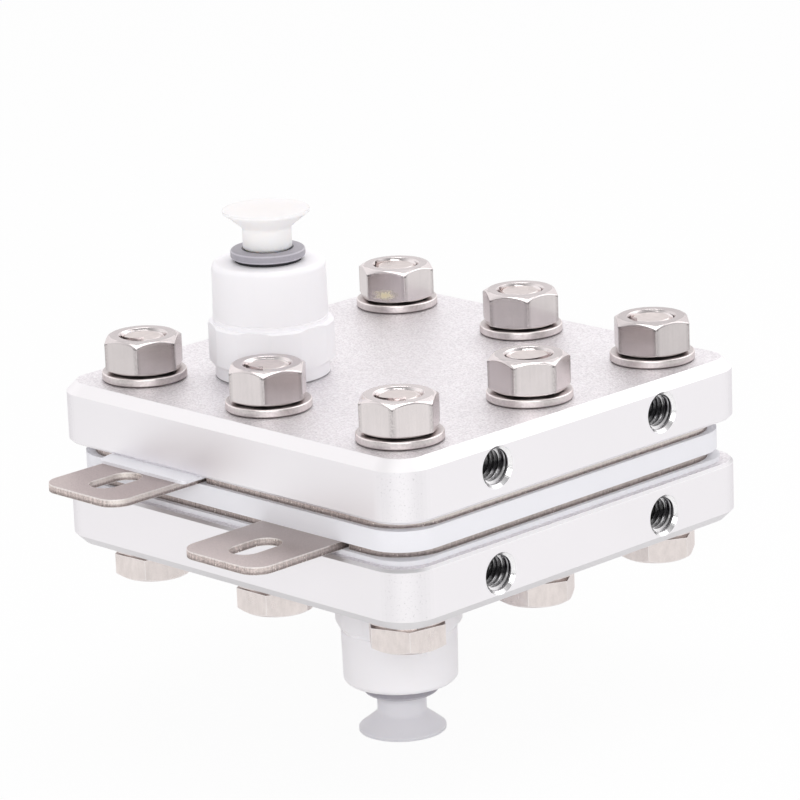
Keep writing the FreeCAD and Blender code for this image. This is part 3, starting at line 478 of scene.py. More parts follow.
def satin_titanium(name, foot, top, face, cream_share, root_tone):
    """Terminal sheets: finely grained brown-grey faces; cut edges with painted shade toward the foot, a
    painted cream highlight toward the top that is stronger on faces turned to +X, and a painted highlight
    line along the tabs' top edges.
    """
    material, tree, shader = new_material(name, Metallic=1.0, Specular_Tint=(0.9, 0.88, 0.87, 1.0))
    cut_edge = (0.60, 0.51, 0.485, 1.0)
    cream_highlight = (0.90, 0.845, 0.80, 1.0)
    rim_highlight = (0.97, 0.935, 0.91, 1.0)
    painted_glint = (0.93, 0.86, 0.80, 1.0)
    worn_and_highlit_edge = (0.95, 0.91, 0.88, 1.0)
    tip_tone = 1.04
    rim_low, rim_high = top - 0.24 * MM, top - 0.12 * MM
    rim_start = PLATE_FRONT - 0.8 * MM
    middle = (foot + top) / 2
    cream_foot = foot + 0.28 * (top - foot)
    facing = use_group(tree, "facing")
    sand = use_group(tree, "grain", {"Scale": 5200.0, "Sparkle": 0.15})
    mottle = use_group(tree, "grain", {"Scale": 2600.0, "Sparkle": 0.0})
    drift = use_group(tree, "drift", {"Scale": 150.0, "Spread": 0.16})
    cut = use_group(tree, "streaks", {"Squeeze": (4.0, 4.0, 0.5)})
    wear_and_highlight = use_group(tree, "edge_wear_and_highlight", {"Radius": 0.00016, "Amount": 1.5})
    upright = math_node(tree, "SUBTRACT", 1.0, facing["Flat"])
    _, along, height = split(tree, object_place(tree))
    tab_tone = map_range(tree, along, TAB_TIP, PLATE_FRONT, tip_tone, root_tone)

    # Cut edges: painted shade toward the foot, under the sand grain and the cutting streaks.
    edge_tone = map_range(tree, height, foot, middle, 0.42, 1.05)
    edge_tone = times(tree, edge_tone, tone_range(tree, sand["Tone"], 0.55, 1.4))
    edge_tone = times(tree, edge_tone, tone_range(tree, cut["Height"], 0.68, 1.2))
    face_tone = tone_range(tree, sand["Tone"], 0.86, 1.12)
    face_tone = times(tree, face_tone, tone_range(tree, mottle["Tone"], 0.96, 1.05))
    tone = mix_color(tree, facing["Flat"], edge_tone, face_tone)
    base = toned(tree, mix_color(tree, facing["Flat"], cut_edge, face), tone, drift["Factor"])

    # Painted cream highlight toward the top of the cut edges, stronger on faces turned to +X.
    pale = map_range(tree, height, cream_foot, middle, 0.0, cream_share)
    rightward = split(tree, node(tree, "ShaderNodeNewGeometry").outputs["Normal"])[0]
    pale = times(tree, pale, map_range(tree, rightward, 0.1, 0.8, 0.2, 1.0))
    pale = times(tree, pale, tone_range(tree, sand["Tone"], 0.75, 1.1), clamp=True)
    base = mix_color(tree, times(tree, pale, upright), base, cream_highlight)
    base = toned(tree, base, tab_tone)

    # Painted highlight line along the top of the tabs' cut edges, out beyond the plates.
    rim = map_range(tree, height, rim_low, rim_high)
    rim = times(tree, rim, math_node(tree, "LESS_THAN", along, rim_start))
    rim = times(tree, rim, times(tree, upright, tone_range(tree, cut["Height"], 0.6, 1.0)))
    base = mix_color(tree, times(tree, rim, 0.8), base, rim_highlight)
    # Painted glints on the cut edges.
    glint = math_node(tree, "SUBTRACT", 0.75, facing["Flat"], clamp=True)
    base = mix_color(tree, times(tree, sand["Glint"], glint), base, painted_glint)
    # Edges: wear, and a painted highlight along them.
    base = mix_color(tree, wear_and_highlight["Mask"], base, worn_and_highlit_edge)
    rough = map_range(tree, facing["Flat"], 0.0, 1.0, 0.46, 0.34)
    link_surface(tree, shader, base, times(tree, rough, drift["Factor"]))
    relief = times(tree, sand["Height"], math_node(tree, "ADD", upright, 0.1))
    bump(tree, shader, relief, 0.5, 0.00008)
    return material


def steel(
    name,
    color,
    roughness,
    streak_tone,
    squeeze,
    metal_grain=0.15,
    face_tone=1.0,
    rim_tone=1.0,
    wear_and_highlight_amount=0.6,
    nut=False,
):
    """Stainless fasteners, with the fine lines that forming leaves on them."""
    material, tree, shader = new_material(name, Metallic=1.0, Specular_Tint=(0.9, 0.88, 0.88, 1.0))
    worn_and_highlit_edge = (0.95, 0.92, 0.91, 1.0)
    foot_shadow = (0.16, 0.13, 0.13, 1.0)
    facing = use_group(tree, "facing")
    streaks = use_group(tree, "streaks", {"Squeeze": squeeze})
    drift = use_group(tree, "drift", {"Scale": 260.0, "Spread": 0.16})
    wear_and_highlight = use_group(tree, "edge_wear_and_highlight", {"Radius": 0.00016, "Amount": wear_and_highlight_amount})
    grain = use_group(tree, "grain", {"Scale": 5200.0, "Sparkle": 0.05})
    tone = tone_range(tree, streaks["Height"], *streak_tone)
    # Flat faces are painted darker by the face tone (painted shade), sloped rims and chamfers lighter by
    # the rim tone (painted highlight).
    face = mix_color(tree, facing["Flat"], WHITE, grey(face_tone))
    rim = mix_color(tree, facing["Slope"], WHITE, grey(rim_tone))
    speck = tone_range(tree, grain["Tone"], 0.97, 1.03)
    base = toned(tree, color, tone, drift["Factor"], face, rim, speck)
    # Edges: wear, and a painted highlight along them.
    base = mix_color(tree, wear_and_highlight["Mask"], base, worn_and_highlit_edge)
    base = mix_color(tree, times(tree, point_mask(tree, "foot"), tone), base, foot_shadow)
    rough = times(tree, drift["Factor"], roughness)
    if nut:
        base, rough = mark_nut(tree, shader, base, rough, grain)
    link_surface(tree, shader, base, rough)
    relief = math_node(tree, "ADD", streaks["Height"], times(tree, grain["Height"], metal_grain))
    bump(tree, shader, relief, 0.12, 0.00004)
    return material


def mark_nut(tree, shader, base, rough, grain):
    """Adds what tells the nuts apart: a darkening of each nut's colour, a painted dark reflection down the
    corners, a dab of paint.
    """
    darkened_metal = (0.12, 0.10, 0.10, 1.0)
    corner_dark_reflection = (0.10, 0.09, 0.09, 1.0)
    paint_yellow = (0.78, 0.69, 0.36, 1.0)
    paint_cover = 0.75
    paint_roughness = 0.5
    base = mix_color(tree, point_mask(tree, "darkening"), base, darkened_metal)
    broken = map_range(tree, grain["Tone"], 0.4, 0.6, 0.3, 1.0)
    # Painted dark reflection down the corners, broken up by the grain.
    base = mix_color(tree, times(tree, point_mask(tree, "painted_corner_dark"), broken), base, corner_dark_reflection)
    paint = use_group(
        tree,
        "spot",
        {
            "Middle": PAINT_SPOT,
            "Squeeze": (0.55, 0.55, 1.15),
            "Reach": 1.1 * MM,
            "Roughness": 0.22,
            "Core": 0.0,
        },
    )["Mask"]
    base = mix_color(tree, times(tree, paint, paint_cover), base, paint_yellow)
    tree.links.new(math_node(tree, "SUBTRACT", 1.0, paint), shader.inputs["Metallic"])
    return base, math_node(tree, "MAXIMUM", rough, times(tree, paint, paint_roughness))


def thread_metal():
    """Tapped threads: bright crests, with painted shade in the roots and the shaded band."""
    material, tree, shader = new_material("tapped_thread_metal", Metallic=0.85)
    crest = (0.985, 0.98, 0.985, 1.0)
    thread_shade = (0.03, 0.027, 0.036, 1.0)
    grain = use_group(tree, "grain", {"Scale": 3800.0, "Sparkle": 0.1})
    drift = use_group(tree, "drift", {"Scale": 700.0, "Spread": 0.2})
    # Painted shade from the points' mask.
    base = mix_color(tree, point_mask(tree, "thread_shade"), crest, thread_shade)
    base = toned(tree, base, drift["Factor"], tone_range(tree, grain["Tone"], 0.95, 1.03))
    link_surface(tree, shader, base, tone_range(tree, grain["Tone"], 0.14, 0.24))
    bump(tree, shader, grain["Height"], 0.12, 0.00004)
    return material


def soft_sheet(name, color, roughness, translucency=0.0, radius=(1.0, 1.0, 1.0)):
    """Gaskets and the membrane: matt white sheet, with light that may soak in."""
    material, tree, shader = new_material(
        name,
        Subsurface_Weight=translucency,
        Subsurface_Radius=radius,
        Subsurface_Scale=0.002,
        IOR=1.43,
        Specular_IOR_Level=0.12,
    )
    drift = use_group(tree, "drift", {"Scale": 90.0, "Spread": 0.04})
    grain = use_group(tree, "grain", {"Scale": 1500.0, "Sparkle": 0.0})
    rough = times(tree, drift["Factor"], roughness)
    link_surface(tree, shader, toned(tree, color, drift["Factor"]), rough)
    bump(tree, shader, grain["Height"], 0.1, 0.00005)
    return material


def moulded_plastic(
    name,
    color,
    roughness,
    drift_spread=0.02,
    translucency=0.1,
    depth=1.2 * MM,
    edge_tone=1.05,
    face_tone=1.0,
    seat_line=0.0,
):
    """Moulded parts: a fine mould texture, edges and flat faces painted lighter and darker by their tones
    (painted light and shade), light that soaks in.

    A seat line is a painted shadow line of that height where the part stands on its plate."""
    material, tree, shader = new_material(
        name,
        Subsurface_Weight=translucency,
        Subsurface_Radius=(1.0, 0.9, 0.8),
        Subsurface_Scale=depth,
        IOR=1.48,
        Specular_IOR_Level=0.25,
    )
    drift = use_group(tree, "drift", {"Scale": 110.0, "Spread": drift_spread})
    grain = use_group(tree, "grain", {"Scale": 2600.0, "Sparkle": 0.0})
    wear_and_highlight = use_group(tree, "edge_wear_and_highlight", {"Radius": 0.00025, "Amount": 0.3})
    facing = use_group(tree, "facing")
    face = tuple(channel * face_tone for channel in color[:3]) + (1.0,)
    edge = tuple(min(1.0, channel * edge_tone) for channel in color[:3]) + (1.0,)
    base = toned(tree, color, drift["Factor"])
    # Flat faces take the face tone and edges the edge tone: painted light and shade.
    base = mix_color(tree, facing["Flat"], base, face)
    base = mix_color(tree, wear_and_highlight["Mask"], base, edge)
    if seat_line:
        # Painted contact shadow where the part stands on its plate.
        seat_shadow = (0.12, 0.115, 0.12, 1.0)
        height = math_node(tree, "ABSOLUTE", split(tree, object_place(tree))[2])
        seat = PLATE_TOP + seat_line
        line = map_range(tree, height, seat, seat - 0.08 * MM, 0.0, 0.85)
        base = mix_color(tree, line, base, seat_shadow)
    link_surface(tree, shader, base, times(tree, drift["Factor"], roughness))
    bump(tree, shader, grain["Height"], 0.08, 0.00004)
    return material


def ring_plastic(end):
    """A collet's grey plastic: painted highlight lines round its flange, painted shadow in its bore and
    under its flange.
    """
    material, tree, shader = new_material(f"{end}_collet_plastic", IOR=1.48, Specular_IOR_Level=0.3)
    ring_grey = (0.38, 0.365, 0.405, 1.0)
    highlight_grey = (0.62, 0.60, 0.65, 1.0)
    shadow = (0.03, 0.03, 0.035, 1.0)
    highlight_lines = ((0.22 * MM, 0.1 * MM), (1.12 * MM, 0.09 * MM))
    rim_width = 0.7 * MM
    flange_height = 1.32 * MM
    bore_radius = PLUG_NECK_RADIUS + 0.2 * MM
    low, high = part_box(f"{end}_release_collet")
    way = 1.0 if end == "upper" else -1.0
    crown = high[2] if end == "upper" else -low[2]
    axis = ((low[0] + high[0]) / 2, (low[1] + high[1]) / 2, 0.0)
    reach = (high[0] - low[0]) / 2
    place = object_place(tree)
    drop = math_node(tree, "SUBTRACT", crown, times(tree, split(tree, place)[2], way))
    away = vector_node(tree, "DISTANCE", vector_node(tree, "MULTIPLY", place, (1.0, 1.0, 0.0)), axis)
    lines = 0.0
    for middle, width in highlight_lines:
        line = math_node(tree, "COMPARE", drop, middle)
        line.node.inputs[2].default_value = width
        lines = math_node(tree, "ADD", lines, line, clamp=True)
    lines = times(tree, lines, math_node(tree, "GREATER_THAN", away, reach - rim_width))
    bore = math_node(tree, "LESS_THAN", away, bore_radius)
    stem = math_node(tree, "GREATER_THAN", drop, flange_height)
    drift = use_group(tree, "drift", {"Scale": 110.0, "Spread": 0.1})
    grain = use_group(tree, "grain", {"Scale": 2600.0, "Sparkle": 0.0})
    base = toned(tree, ring_grey, drift["Factor"], tone_range(tree, grain["Tone"], 0.94, 1.05))
    # Painted highlight lines round the flange's rim.
    base = mix_color(tree, times(tree, lines, 0.7), base, highlight_grey)
    base = mix_color(tree, math_node(tree, "MAXIMUM", bore, stem), base, shadow)
    link_surface(tree, shader, base, times(tree, drift["Factor"], 0.38))
    bump(tree, shader, grain["Height"], 0.1, 0.00004)
    return material


def fibre_layer(name, dark, light, metallic):
    """Porous layers: crossing fibres."""
    material, tree, shader = new_material(name, Metallic=metallic)
    along = use_group(tree, "streaks", {"Squeeze": (4.0, 0.4, 4.0)})
    across = use_group(tree, "streaks", {"Squeeze": (0.4, 4.0, 4.0)})
    fibres = math_node(tree, "MAXIMUM", along["Height"], across["Height"])
    tone = map_range(tree, fibres, 0.45, 0.65)
    rough = map_range(tree, tone, 0.0, 1.0, 0.8, 0.5)
    link_surface(tree, shader, mix_color(tree, tone, dark, light), rough)
    bump(tree, shader, fibres, 0.6, 0.0001)
    return material


def dress(material, *names):
    """Gives CAD nodes a material of their own."""
    for name in names:
        mesh = nodes[name].data
        mesh.materials.clear()
        mesh.materials.append(material)


def soften(name, width):
    """Breaks a CAD node's sharp edges with a small rounding."""
    bevel = nodes[name].modifiers.new("broken_edges", "BEVEL")
    bevel.width = width
    bevel.segments = 2
    bevel.limit_method = "ANGLE"
    bevel.angle_limit = math.radians(28.0)
    bevel.harden_normals = False
    bevel.use_clamp_overlap = True


def new_piece(name, bm, material, body, smooth=True):
    """Makes a mesh piece that rides on a body."""
    mesh = bpy.data.meshes.new(name)
    bm.to_mesh(mesh)
    bm.free()
    piece = bpy.data.objects.new(name, mesh)
    bpy.context.scene.collection.objects.link(piece)
    mesh.materials.append(material)
    for face in mesh.polygons:
        face.use_smooth = smooth
    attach(piece, body)
    return piece


def shade_evenly(piece):
    """Lets the large faces lead the shading, so that flats look flat."""
    weighted = piece.modifiers.new("even_shading", "WEIGHTED_NORMAL")
    weighted.keep_sharp = True


def around(angle, radius, height):
    """Gives a point round the z axis."""
    return Vector((math.cos(angle) * radius, math.sin(angle) * radius, height))


def hexagon_outline(flats, rounding, steps=10):
    """Gives the plan outline of a hexagon with rounded corners, as angle-ordered points."""
    points = []
    reach = (flats / 2 - rounding) / math.cos(math.radians(30.0))
    corners = []
    for corner in range(6):
        middle = math.radians(60.0 * corner)
        centre = Vector((math.cos(middle), math.sin(middle))) * reach
        arc = []
        for turn in (-30.0, -18.0, -6.0, 6.0, 18.0, 30.0):
            angle = middle + math.radians(turn)
            arc.append(centre + Vector((math.cos(angle), math.sin(angle))) * rounding)
        corners.append(arc)
    for corner in range(6):
        points.extend(corners[corner])
        start = corners[corner][-1]
        stop = corners[(corner + 1) % 6][0]
        for step in range(1, steps):
            points.append(start.lerp(stop, step / steps))
    return points


def skin_rings(bm, rings):
    """Joins closed rings of equally many mesh points one after another."""
    for lower, upper in zip(rings, rings[1:]):
        count = len(lower)
        for index in range(count):
            follower = (index + 1) % count
            bm.faces.new((lower[index], lower[follower], upper[follower], upper[index]))


def skin_strips(bm, rows):
    """Joins open rows of equally many mesh points one after another."""
    for low, high in zip(rows, rows[1:]):
        for index in range(len(low) - 1):
            bm.faces.new((low[index], low[index + 1], high[index + 1], high[index]))


def ring_mesh(rows):
    """Builds a mesh from closed rows of points, the last of which meets the first."""
    bm = bmesh.new()
    skin_rings(bm, [[bm.verts.new(point) for point in row] for row in rows])
    bmesh.ops.remove_doubles(bm, verts=bm.verts, dist=1e-7)
    bmesh.ops.recalc_face_normals(bm, faces=bm.faces)
    return bm


def nut_mesh(spot, turn, darkening_share):
    """Builds a hexagon nut: turned chamfers, rounded corners, countersunk bore."""
    outline = hexagon_outline(NUT_FLATS, HEX_CORNER_ROUNDING)
    angles = [math.atan2(point.y, point.x) for point in outline]
    reach = [point.length for point in outline]
    bore = NUT_BORE / 2
    mouth = NUT_MOUTH
    soft = NUT_SOFTNESS

    def circle(radius, height):
        return [around(angle, radius, height) for angle in angles]

    def wall(inset, drop, top):
        row = []
        start = NUT_TOP_RADIUS if top else NUT_FOOT_RADIUS
        slope = math.tan(math.radians(NUT_TOP_SLOPE if top else NUT_FOOT_SLOPE))
        for angle, radius in zip(angles, reach):
            fall = max(0.0, radius - start) * slope - inset * slope + drop
            row.append(around(angle, radius - inset, NUT_HEIGHT - fall if top else fall))
        return row

    bm = ring_mesh(
        [
            circle(bore, mouth),
            circle(bore + mouth, 0.0),
            circle(bore + mouth + soft, 0.0),
            circle(NUT_FOOT_RADIUS - 2 * soft, 0.0),
            circle(NUT_FOOT_RADIUS - soft, 0.1 * soft),
            wall(3 * soft, 0.0, False),
            wall(soft, 0.05 * soft, False),
            wall(0.3 * soft, 0.35 * soft, False),
            wall(0.0, soft, False),
            wall(0.0, 3 * soft, False),
            wall(0.0, 5 * soft, True),
            wall(0.0, 3 * soft, True),
            wall(0.0, soft, True),
            wall(0.3 * soft, 0.35 * soft, True),
            wall(soft, 0.05 * soft, True),
            wall(3 * soft, 0.0, True),
            circle(NUT_TOP_RADIUS - soft, NUT_HEIGHT - 0.1 * soft),
            circle(NUT_TOP_RADIUS - 3 * soft, NUT_HEIGHT),
            circle(bore + mouth + 2 * soft, NUT_HEIGHT),
            circle(bore + mouth + 0.6 * soft, NUT_HEIGHT - 0.2 * soft),
            circle(bore + mouth, NUT_HEIGHT - 0.8 * soft),
            circle(bore, NUT_HEIGHT - mouth - 0.6 * soft),
            circle(bore, mouth),
        ]
    )
    mark_nut_points(bm, max(reach) - 0.04 * MM, darkening_share)
    place = Matrix.Translation(spot) @ Matrix.Rotation(math.radians(turn), 4, "Z")
    bmesh.ops.transform(bm, matrix=place, verts=bm.verts)
    return bm


def mark_nut_points(bm, corner_from, darkening_share):
    """Marks a nut's points: how far their colour is darkened, and the painted dark reflection along its
    corners, strongest in a notch near the top.
    """
    notch_top, notch_foot = 0.7 * MM, 0.95 * MM
    line_share = 0.4
    painted_corner_dark = bm.verts.layers.float.new("painted_corner_dark")
    darkening = bm.verts.layers.float.new("darkening")
    for vert in bm.verts:
        vert[darkening] = darkening_share
        if Vector((vert.co.x, vert.co.y)).length > corner_from:
            depth = NUT_HEIGHT - vert.co.z
            vert[painted_corner_dark] = 1.0 if notch_top < depth < notch_foot else line_share


def washer_mesh(spot, height, number):
    """Builds a stamped washer: rolled upper rim, sharper foot, slightly uneven outline."""
    steps = 96
    inner = WASHER_BORE / 2
    roll = WASHER_ROLL
    foot = WASHER_FOOT
    inset = 0.02 * MM
    wobble = 0.018 * MM
    sag = 0.008 * MM
    profile = [
        (inner, 0.12 * MM),
        (inner, height - 0.15 * MM),
        (inner + 0.15 * MM, height),
        (WASHER_RADIUS - roll - 0.05 * MM, height),
    ]
    for turn in (0.0, 22.5, 45.0, 67.5, 90.0):
        lean = math.radians(turn)
        across = WASHER_RADIUS - roll + math.sin(lean) * roll
        profile.append((across, height - roll + math.cos(lean) * roll))
    profile += [
        (WASHER_RADIUS, foot * 1.9),
        (WASHER_RADIUS - foot * 0.1, foot * 0.85),
        (WASHER_RADIUS - foot * 0.35, foot * 0.35),
        (WASHER_RADIUS - foot * 1.2, 0.0),
        (inner + 0.12 * MM, 0.0),
        (inner, 0.12 * MM),
    ]
    rows = []
    for radius, level in profile:
        row = []
        for step in range(steps):
            angle = 2 * math.pi * step / steps
            uneven = math.sin(3 * angle + number) * 0.5 + math.sin(7 * angle + 2.3 * number) * 0.3
            share = (radius - inner) / (WASHER_RADIUS - inner)
            across = radius - (inset + wobble * uneven) * share
            lift = level - (sag * (1.0 + uneven) if level > height / 2 else 0.0)
            row.append(around(angle, across, lift))
        rows.append(row)
    bm = ring_mesh(rows)
    shadow = bm.verts.layers.float.new("foot")
    for vert in bm.verts:
        if vert.co.z < foot * 0.9:
            vert[shadow] = 1.0
    bmesh.ops.transform(bm, matrix=Matrix.Translation(spot), verts=bm.verts)
    return bm


def bolt_spot(column, row, height):
    """Gives a bolt's place at a height."""
    return Vector((AXIS.x + column * BOLT_REACH, AXIS.y + row * BOLT_REACH, height))


def build_nuts(material):
    """Makes the eight nuts."""
    for number, (column, row, turn, darkening_share) in enumerate(NUTS, start=1):
        bm = nut_mesh(bolt_spot(column, row, NUT_FOOT), turn, darkening_share)
        nut = new_piece(f"hex_nut_{number}", bm, material, CELL)
        shade_evenly(nut)
        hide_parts("hex_nuts")


def build_washers(material):
    """Makes the eight washers under the nuts."""
    height = washer_high[2] - washer_low[2]
    for number, (column, row, _, _) in enumerate(NUTS, start=1):
        bm = washer_mesh(bolt_spot(column, row, washer_low[2]), height, number)
        washer = new_piece(f"nut_washer_{number}", bm, material, CELL)
        shade_evenly(washer)
        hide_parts("nut_washers")


def helix_ridge(bm, place, inner, outer, pitch, turns, lift):
    """Adds a thread ridge that winds along the place's own z, from its origin upward."""
    steps = 40
    flank = 0.42
    crest_half = 0.12
    fade_steps = 0.4 * steps
    rows = []
    total = int(turns * steps)
    for index in range(total + 1):
        angle = 2 * math.pi * index / steps
        height = lift + pitch * index / steps
        fade = min(1.0, index / fade_steps, (total - index) / fade_steps)
        crest = outer + (inner - outer) * fade
        row = []
        for radius, share in ((outer, -flank), (crest, -crest_half), (crest, crest_half), (outer, flank)):
            row.append(bm.verts.new(place @ around(angle, radius, height + share * pitch)))
        rows.append(row)
    skin_strips(bm, rows)


def gloom_at(angle, depth):
    """Tells how shaded a side hole's wall is: a band that turns with the depth."""
    aside = abs(math.degrees(angle) % 360.0 - GLOOM_MIDDLE - GLOOM_TURN * depth / MM)
    return GLOOM_SHARE * min(1.0, max(0.0, (GLOOM_REACH - aside) / GLOOM_FADE))


def tapped_bore(place, outer, rim, crest, pitch, length):
    """Builds a countersunk mouth and a thread that winds inward, with a mask of painted shade on its
    points: full in the roots, lighter on the lower wall, and added in the shaded band, deeper in and where
    the thread starts.
    """
    steps = 56
    gap = SIDE_HOLE_GAP
    wall = outer - gap
    sink = rim - outer
    deep_gloom = 0.15
    deep_steps = 7 * steps
    start_steps = 0.5 * steps
    lit_share = 0.55
    bm = bmesh.new()
    mark = bm.verts.layers.float.new("thread_shade")

    def point(angle, radius, depth, thread_shade):
        vert = bm.verts.new(place @ around(angle, radius, depth))
        vert[mark] = thread_shade
        return vert

    mouth = []
    for radius, depth, thread_shade in ((rim - gap, 0.0, 0.16), (rim - 3 * gap, 2 * gap, 0.1), (wall, sink, 0.04)):
        mouth.append([point(2 * math.pi * step / steps, radius, depth, thread_shade) for step in range(steps)])
    skin_rings(bm, mouth)
    rows = []
    total = int(length / pitch) * steps
    for index in range(total + 1):
        angle = 2 * math.pi * index / steps
        start = sink + pitch * index / steps
        grown = min(1.0, index / start_steps)
        lit = max(0.0, -math.cos(angle))
        gloom = max(deep_gloom * min(1.0, index / deep_steps), gloom_at(angle, start))
        row = []
        for share, thread_shade in SIDE_THREAD_PROFILE:
            radius = crest if share in SIDE_THREAD_CREST_SHARES else wall
            radius = wall + (radius - wall) * grown
            # Painted shade: the root's share, less on the lower wall, at least the band's and the start's.
            thread_shade = max(thread_shade * (1.0 - lit_share * lit), gloom, 1.0 - grown)
            row.append(point(angle, radius, start + share * pitch, thread_shade))
        rows.append(row)
    skin_strips(bm, rows)
    for index in range(1, total + 1 - steps):
        before, here = rows[index - 1], rows[index]
        bm.faces.new((before[-1], rows[index - 1 + steps][0], rows[index + steps][0], here[-1]))
    bmesh.ops.recalc_face_normals(bm, faces=bm.faces)
    return bm


def build_side_threads(material):
    """Taps the four side holes."""
    hole = next(item for item in frame["record"]["mounts"] if item["name"] == "side_holes")
    centre = Vector(hole["pos_m"])
    across = hole["dims"]["spacing_x_mm"] * MM / 2
    up = hole["dims"]["spacing_y_mm"] * MM / 2
    outer = hole["dims"]["hole_r_mm"] * MM
    rim = outer + SIDE_COUNTERSINK
    for number, (way_y, way_z) in enumerate(((-1, -1), (1, -1), (1, 1), (-1, 1)), start=1):
        mouth = centre + Vector((0.0, way_y * across, way_z * up))
        place = Matrix.Translation(mouth) @ Matrix.Rotation(math.radians(-90.0), 4, "Y")
        bm = tapped_bore(place, outer, rim, SIDE_THREAD_CREST, SIDE_THREAD_PITCH, SIDE_THREAD_LENGTH)
        new_piece(f"side_thread_{number}", bm, material, CELL, smooth=False)


def rounded_square(low, high, inset, radius, level, steps=10):
    """Gives the plan outline of a square with rounded corners, in from a box's sides."""
    points = []
    for corner in range(4):
        right = corner in (0, 3)
        back = corner in (0, 1)
        turn_x = high[0] - inset - radius if right else low[0] + inset + radius
        turn_y = high[1] - inset - radius if back else low[1] + inset + radius
        for step in range(steps + 1):
            angle = math.radians(90.0 * (corner + step / steps))
            points.append(Vector((turn_x, turn_y, 0.0)) + around(angle, radius, level))
    return points


def build_rim_bead(material):
    """Closes the slot that the membrane's edge leaves between the frame gaskets."""
    low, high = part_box("upper_frame_gasket")
    membrane_low, membrane_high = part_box("membrane")
    slot_depth = membrane_low[0] - low[0]
    corners = (
        (slot_depth, membrane_low[2]),
        (0.0, membrane_low[2]),
        (0.0, membrane_high[2]),
        (slot_depth, membrane_high[2]),
        (slot_depth, membrane_low[2]),
    )
    bm = ring_mesh(
        [rounded_square(low, high, inset, FRAME_CORNER_RADIUS - inset, level) for inset, level in corners]
    )
    new_piece("gasket_rim_bead", bm, material, CELL, smooth=False)


def build_nut_threads(material):
    """Shows the last turn of thread between each bolt's end and its nut."""
    bm = bmesh.new()
    for column, row, turn, _ in NUTS:
        place = Matrix.Translation(bolt_spot(column, row, nut_high[2])) @ Matrix.Rotation(
            math.radians(180.0), 4, "X"
        )
        place = place @ Matrix.Rotation(math.radians(turn * 5), 4, "Z")
        helix_ridge(
            bm,
            place,
            NUT_THREAD_CREST,
            NUT_THREAD_ROOT,
            NUT_THREAD_PITCH,
            NUT_THREAD_TURNS,
            NUT_THREAD_DEPTH,
        )
    bmesh.ops.recalc_face_normals(bm, faces=bm.faces)
    new_piece("nut_mouth_threads", bm, material, CELL)


def studio_world():
    """A white backdrop behind the cell, greyer in front, with a dark patch for the camera's body."""
    world = bpy.data.worlds.new("white_studio")
    bpy.context.scene.world = world
    world.use_nodes = True
    tree = world.node_tree
    tree.nodes.clear()
    way = node(tree, "ShaderNodeTexCoord").outputs["Generated"]
    behind = vector_node(tree, "DOT_PRODUCT", way, BACK_WAY)
    glow = map_range(tree, behind, -0.75, 0.15, FRONT_GLOW, BACK_GLOW)
    ceiling = map_range(tree, split(tree, way)[2], 0.62, 0.95, 1.0, CEILING_GLOW)
    ahead = vector_node(tree, "DOT_PRODUCT", way, PATCH_WAY)
    patch = map_range(tree, ahead, 0.94, 0.985, 1.0, PATCH_GLOW)
    glow = times(tree, times(tree, glow, ceiling), patch)
    light = node(tree, "ShaderNodeBackground", {"Color": WALL_COLOR, "Strength": glow})
    plain = node(tree, "ShaderNodeBackground", {"Color": WHITE, "Strength": 1.0})
    seen = node(tree, "ShaderNodeLightPath").outputs["Is Camera Ray"]
    mix = node(tree, "ShaderNodeMixShader", {0: seen, 1: light.outputs[0], 2: plain.outputs[0]})
    node(tree, "ShaderNodeOutputWorld", {"Surface": mix.outputs[0]})


def studio_floor():
    """A plain pale floor that looks white to the camera and in reflections, with a soft shadow."""
    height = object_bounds()[0][2] - FLOOR_GAP
    bm = bmesh.new()
    corners = []
    for way_x, way_y in ((-1, -1), (1, -1), (1, 1), (-1, 1)):
        corners.append(bm.verts.new((way_x * FLOOR_REACH, way_y * FLOOR_REACH, height)))
    bm.faces.new(corners)
    mesh = bpy.data.meshes.new("studio_floor")
    bm.to_mesh(mesh)
    bm.free()
    floor = bpy.data.objects.new("studio_floor", mesh)
    bpy.context.scene.collection.objects.link(floor)
    material = bpy.data.materials.new("pale_floor")
    material.use_nodes = True
    tree = material.node_tree
    tree.nodes.clear()
    lit = node(tree, "ShaderNodeBsdfDiffuse", {"Color": FLOOR_COLOR})
    white = node(tree, "ShaderNodeEmission", {"Color": WHITE, "Strength": 1.0})
    path = node(tree, "ShaderNodeLightPath").outputs
    direct = math_node(tree, "ADD", path["Is Camera Ray"], path["Is Transmission Ray"], clamp=True)
    mirrored = times(tree, path["Is Glossy Ray"], FLOOR_MIRRORED_WHITE)
    share = math_node(tree, "MAXIMUM", times(tree, direct, FLOOR_SEEN_WHITE), mirrored)
    mix = node(tree, "ShaderNodeMixShader", {0: share, 1: lit.outputs[0], 2: white.outputs[0]})
    node(tree, "ShaderNodeOutputMaterial", {"Surface": mix.outputs[0]})
    mesh.materials.append(material)
    floor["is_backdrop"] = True


def softbox(name, azimuth, elevation, distance, size, radiance):
    """A square lamp that looks at the cell, given by the brightness of its face."""
    lamp = bpy.data.lights.new(name, "AREA")
    lamp.size = size
    lamp.energy = radiance * math.pi * size * size
    holder = bpy.data.objects.new(name, lamp)
    turn, rise = math.radians(azimuth), math.radians(elevation)
    way = Vector((math.cos(turn) * math.cos(rise), math.sin(turn) * math.cos(rise), math.sin(rise)))
    holder.location = AXIS + way * distance
    holder.rotation_euler = (-way).to_track_quat("-Z", "Y").to_euler()
    bpy.context.scene.collection.objects.link(holder)


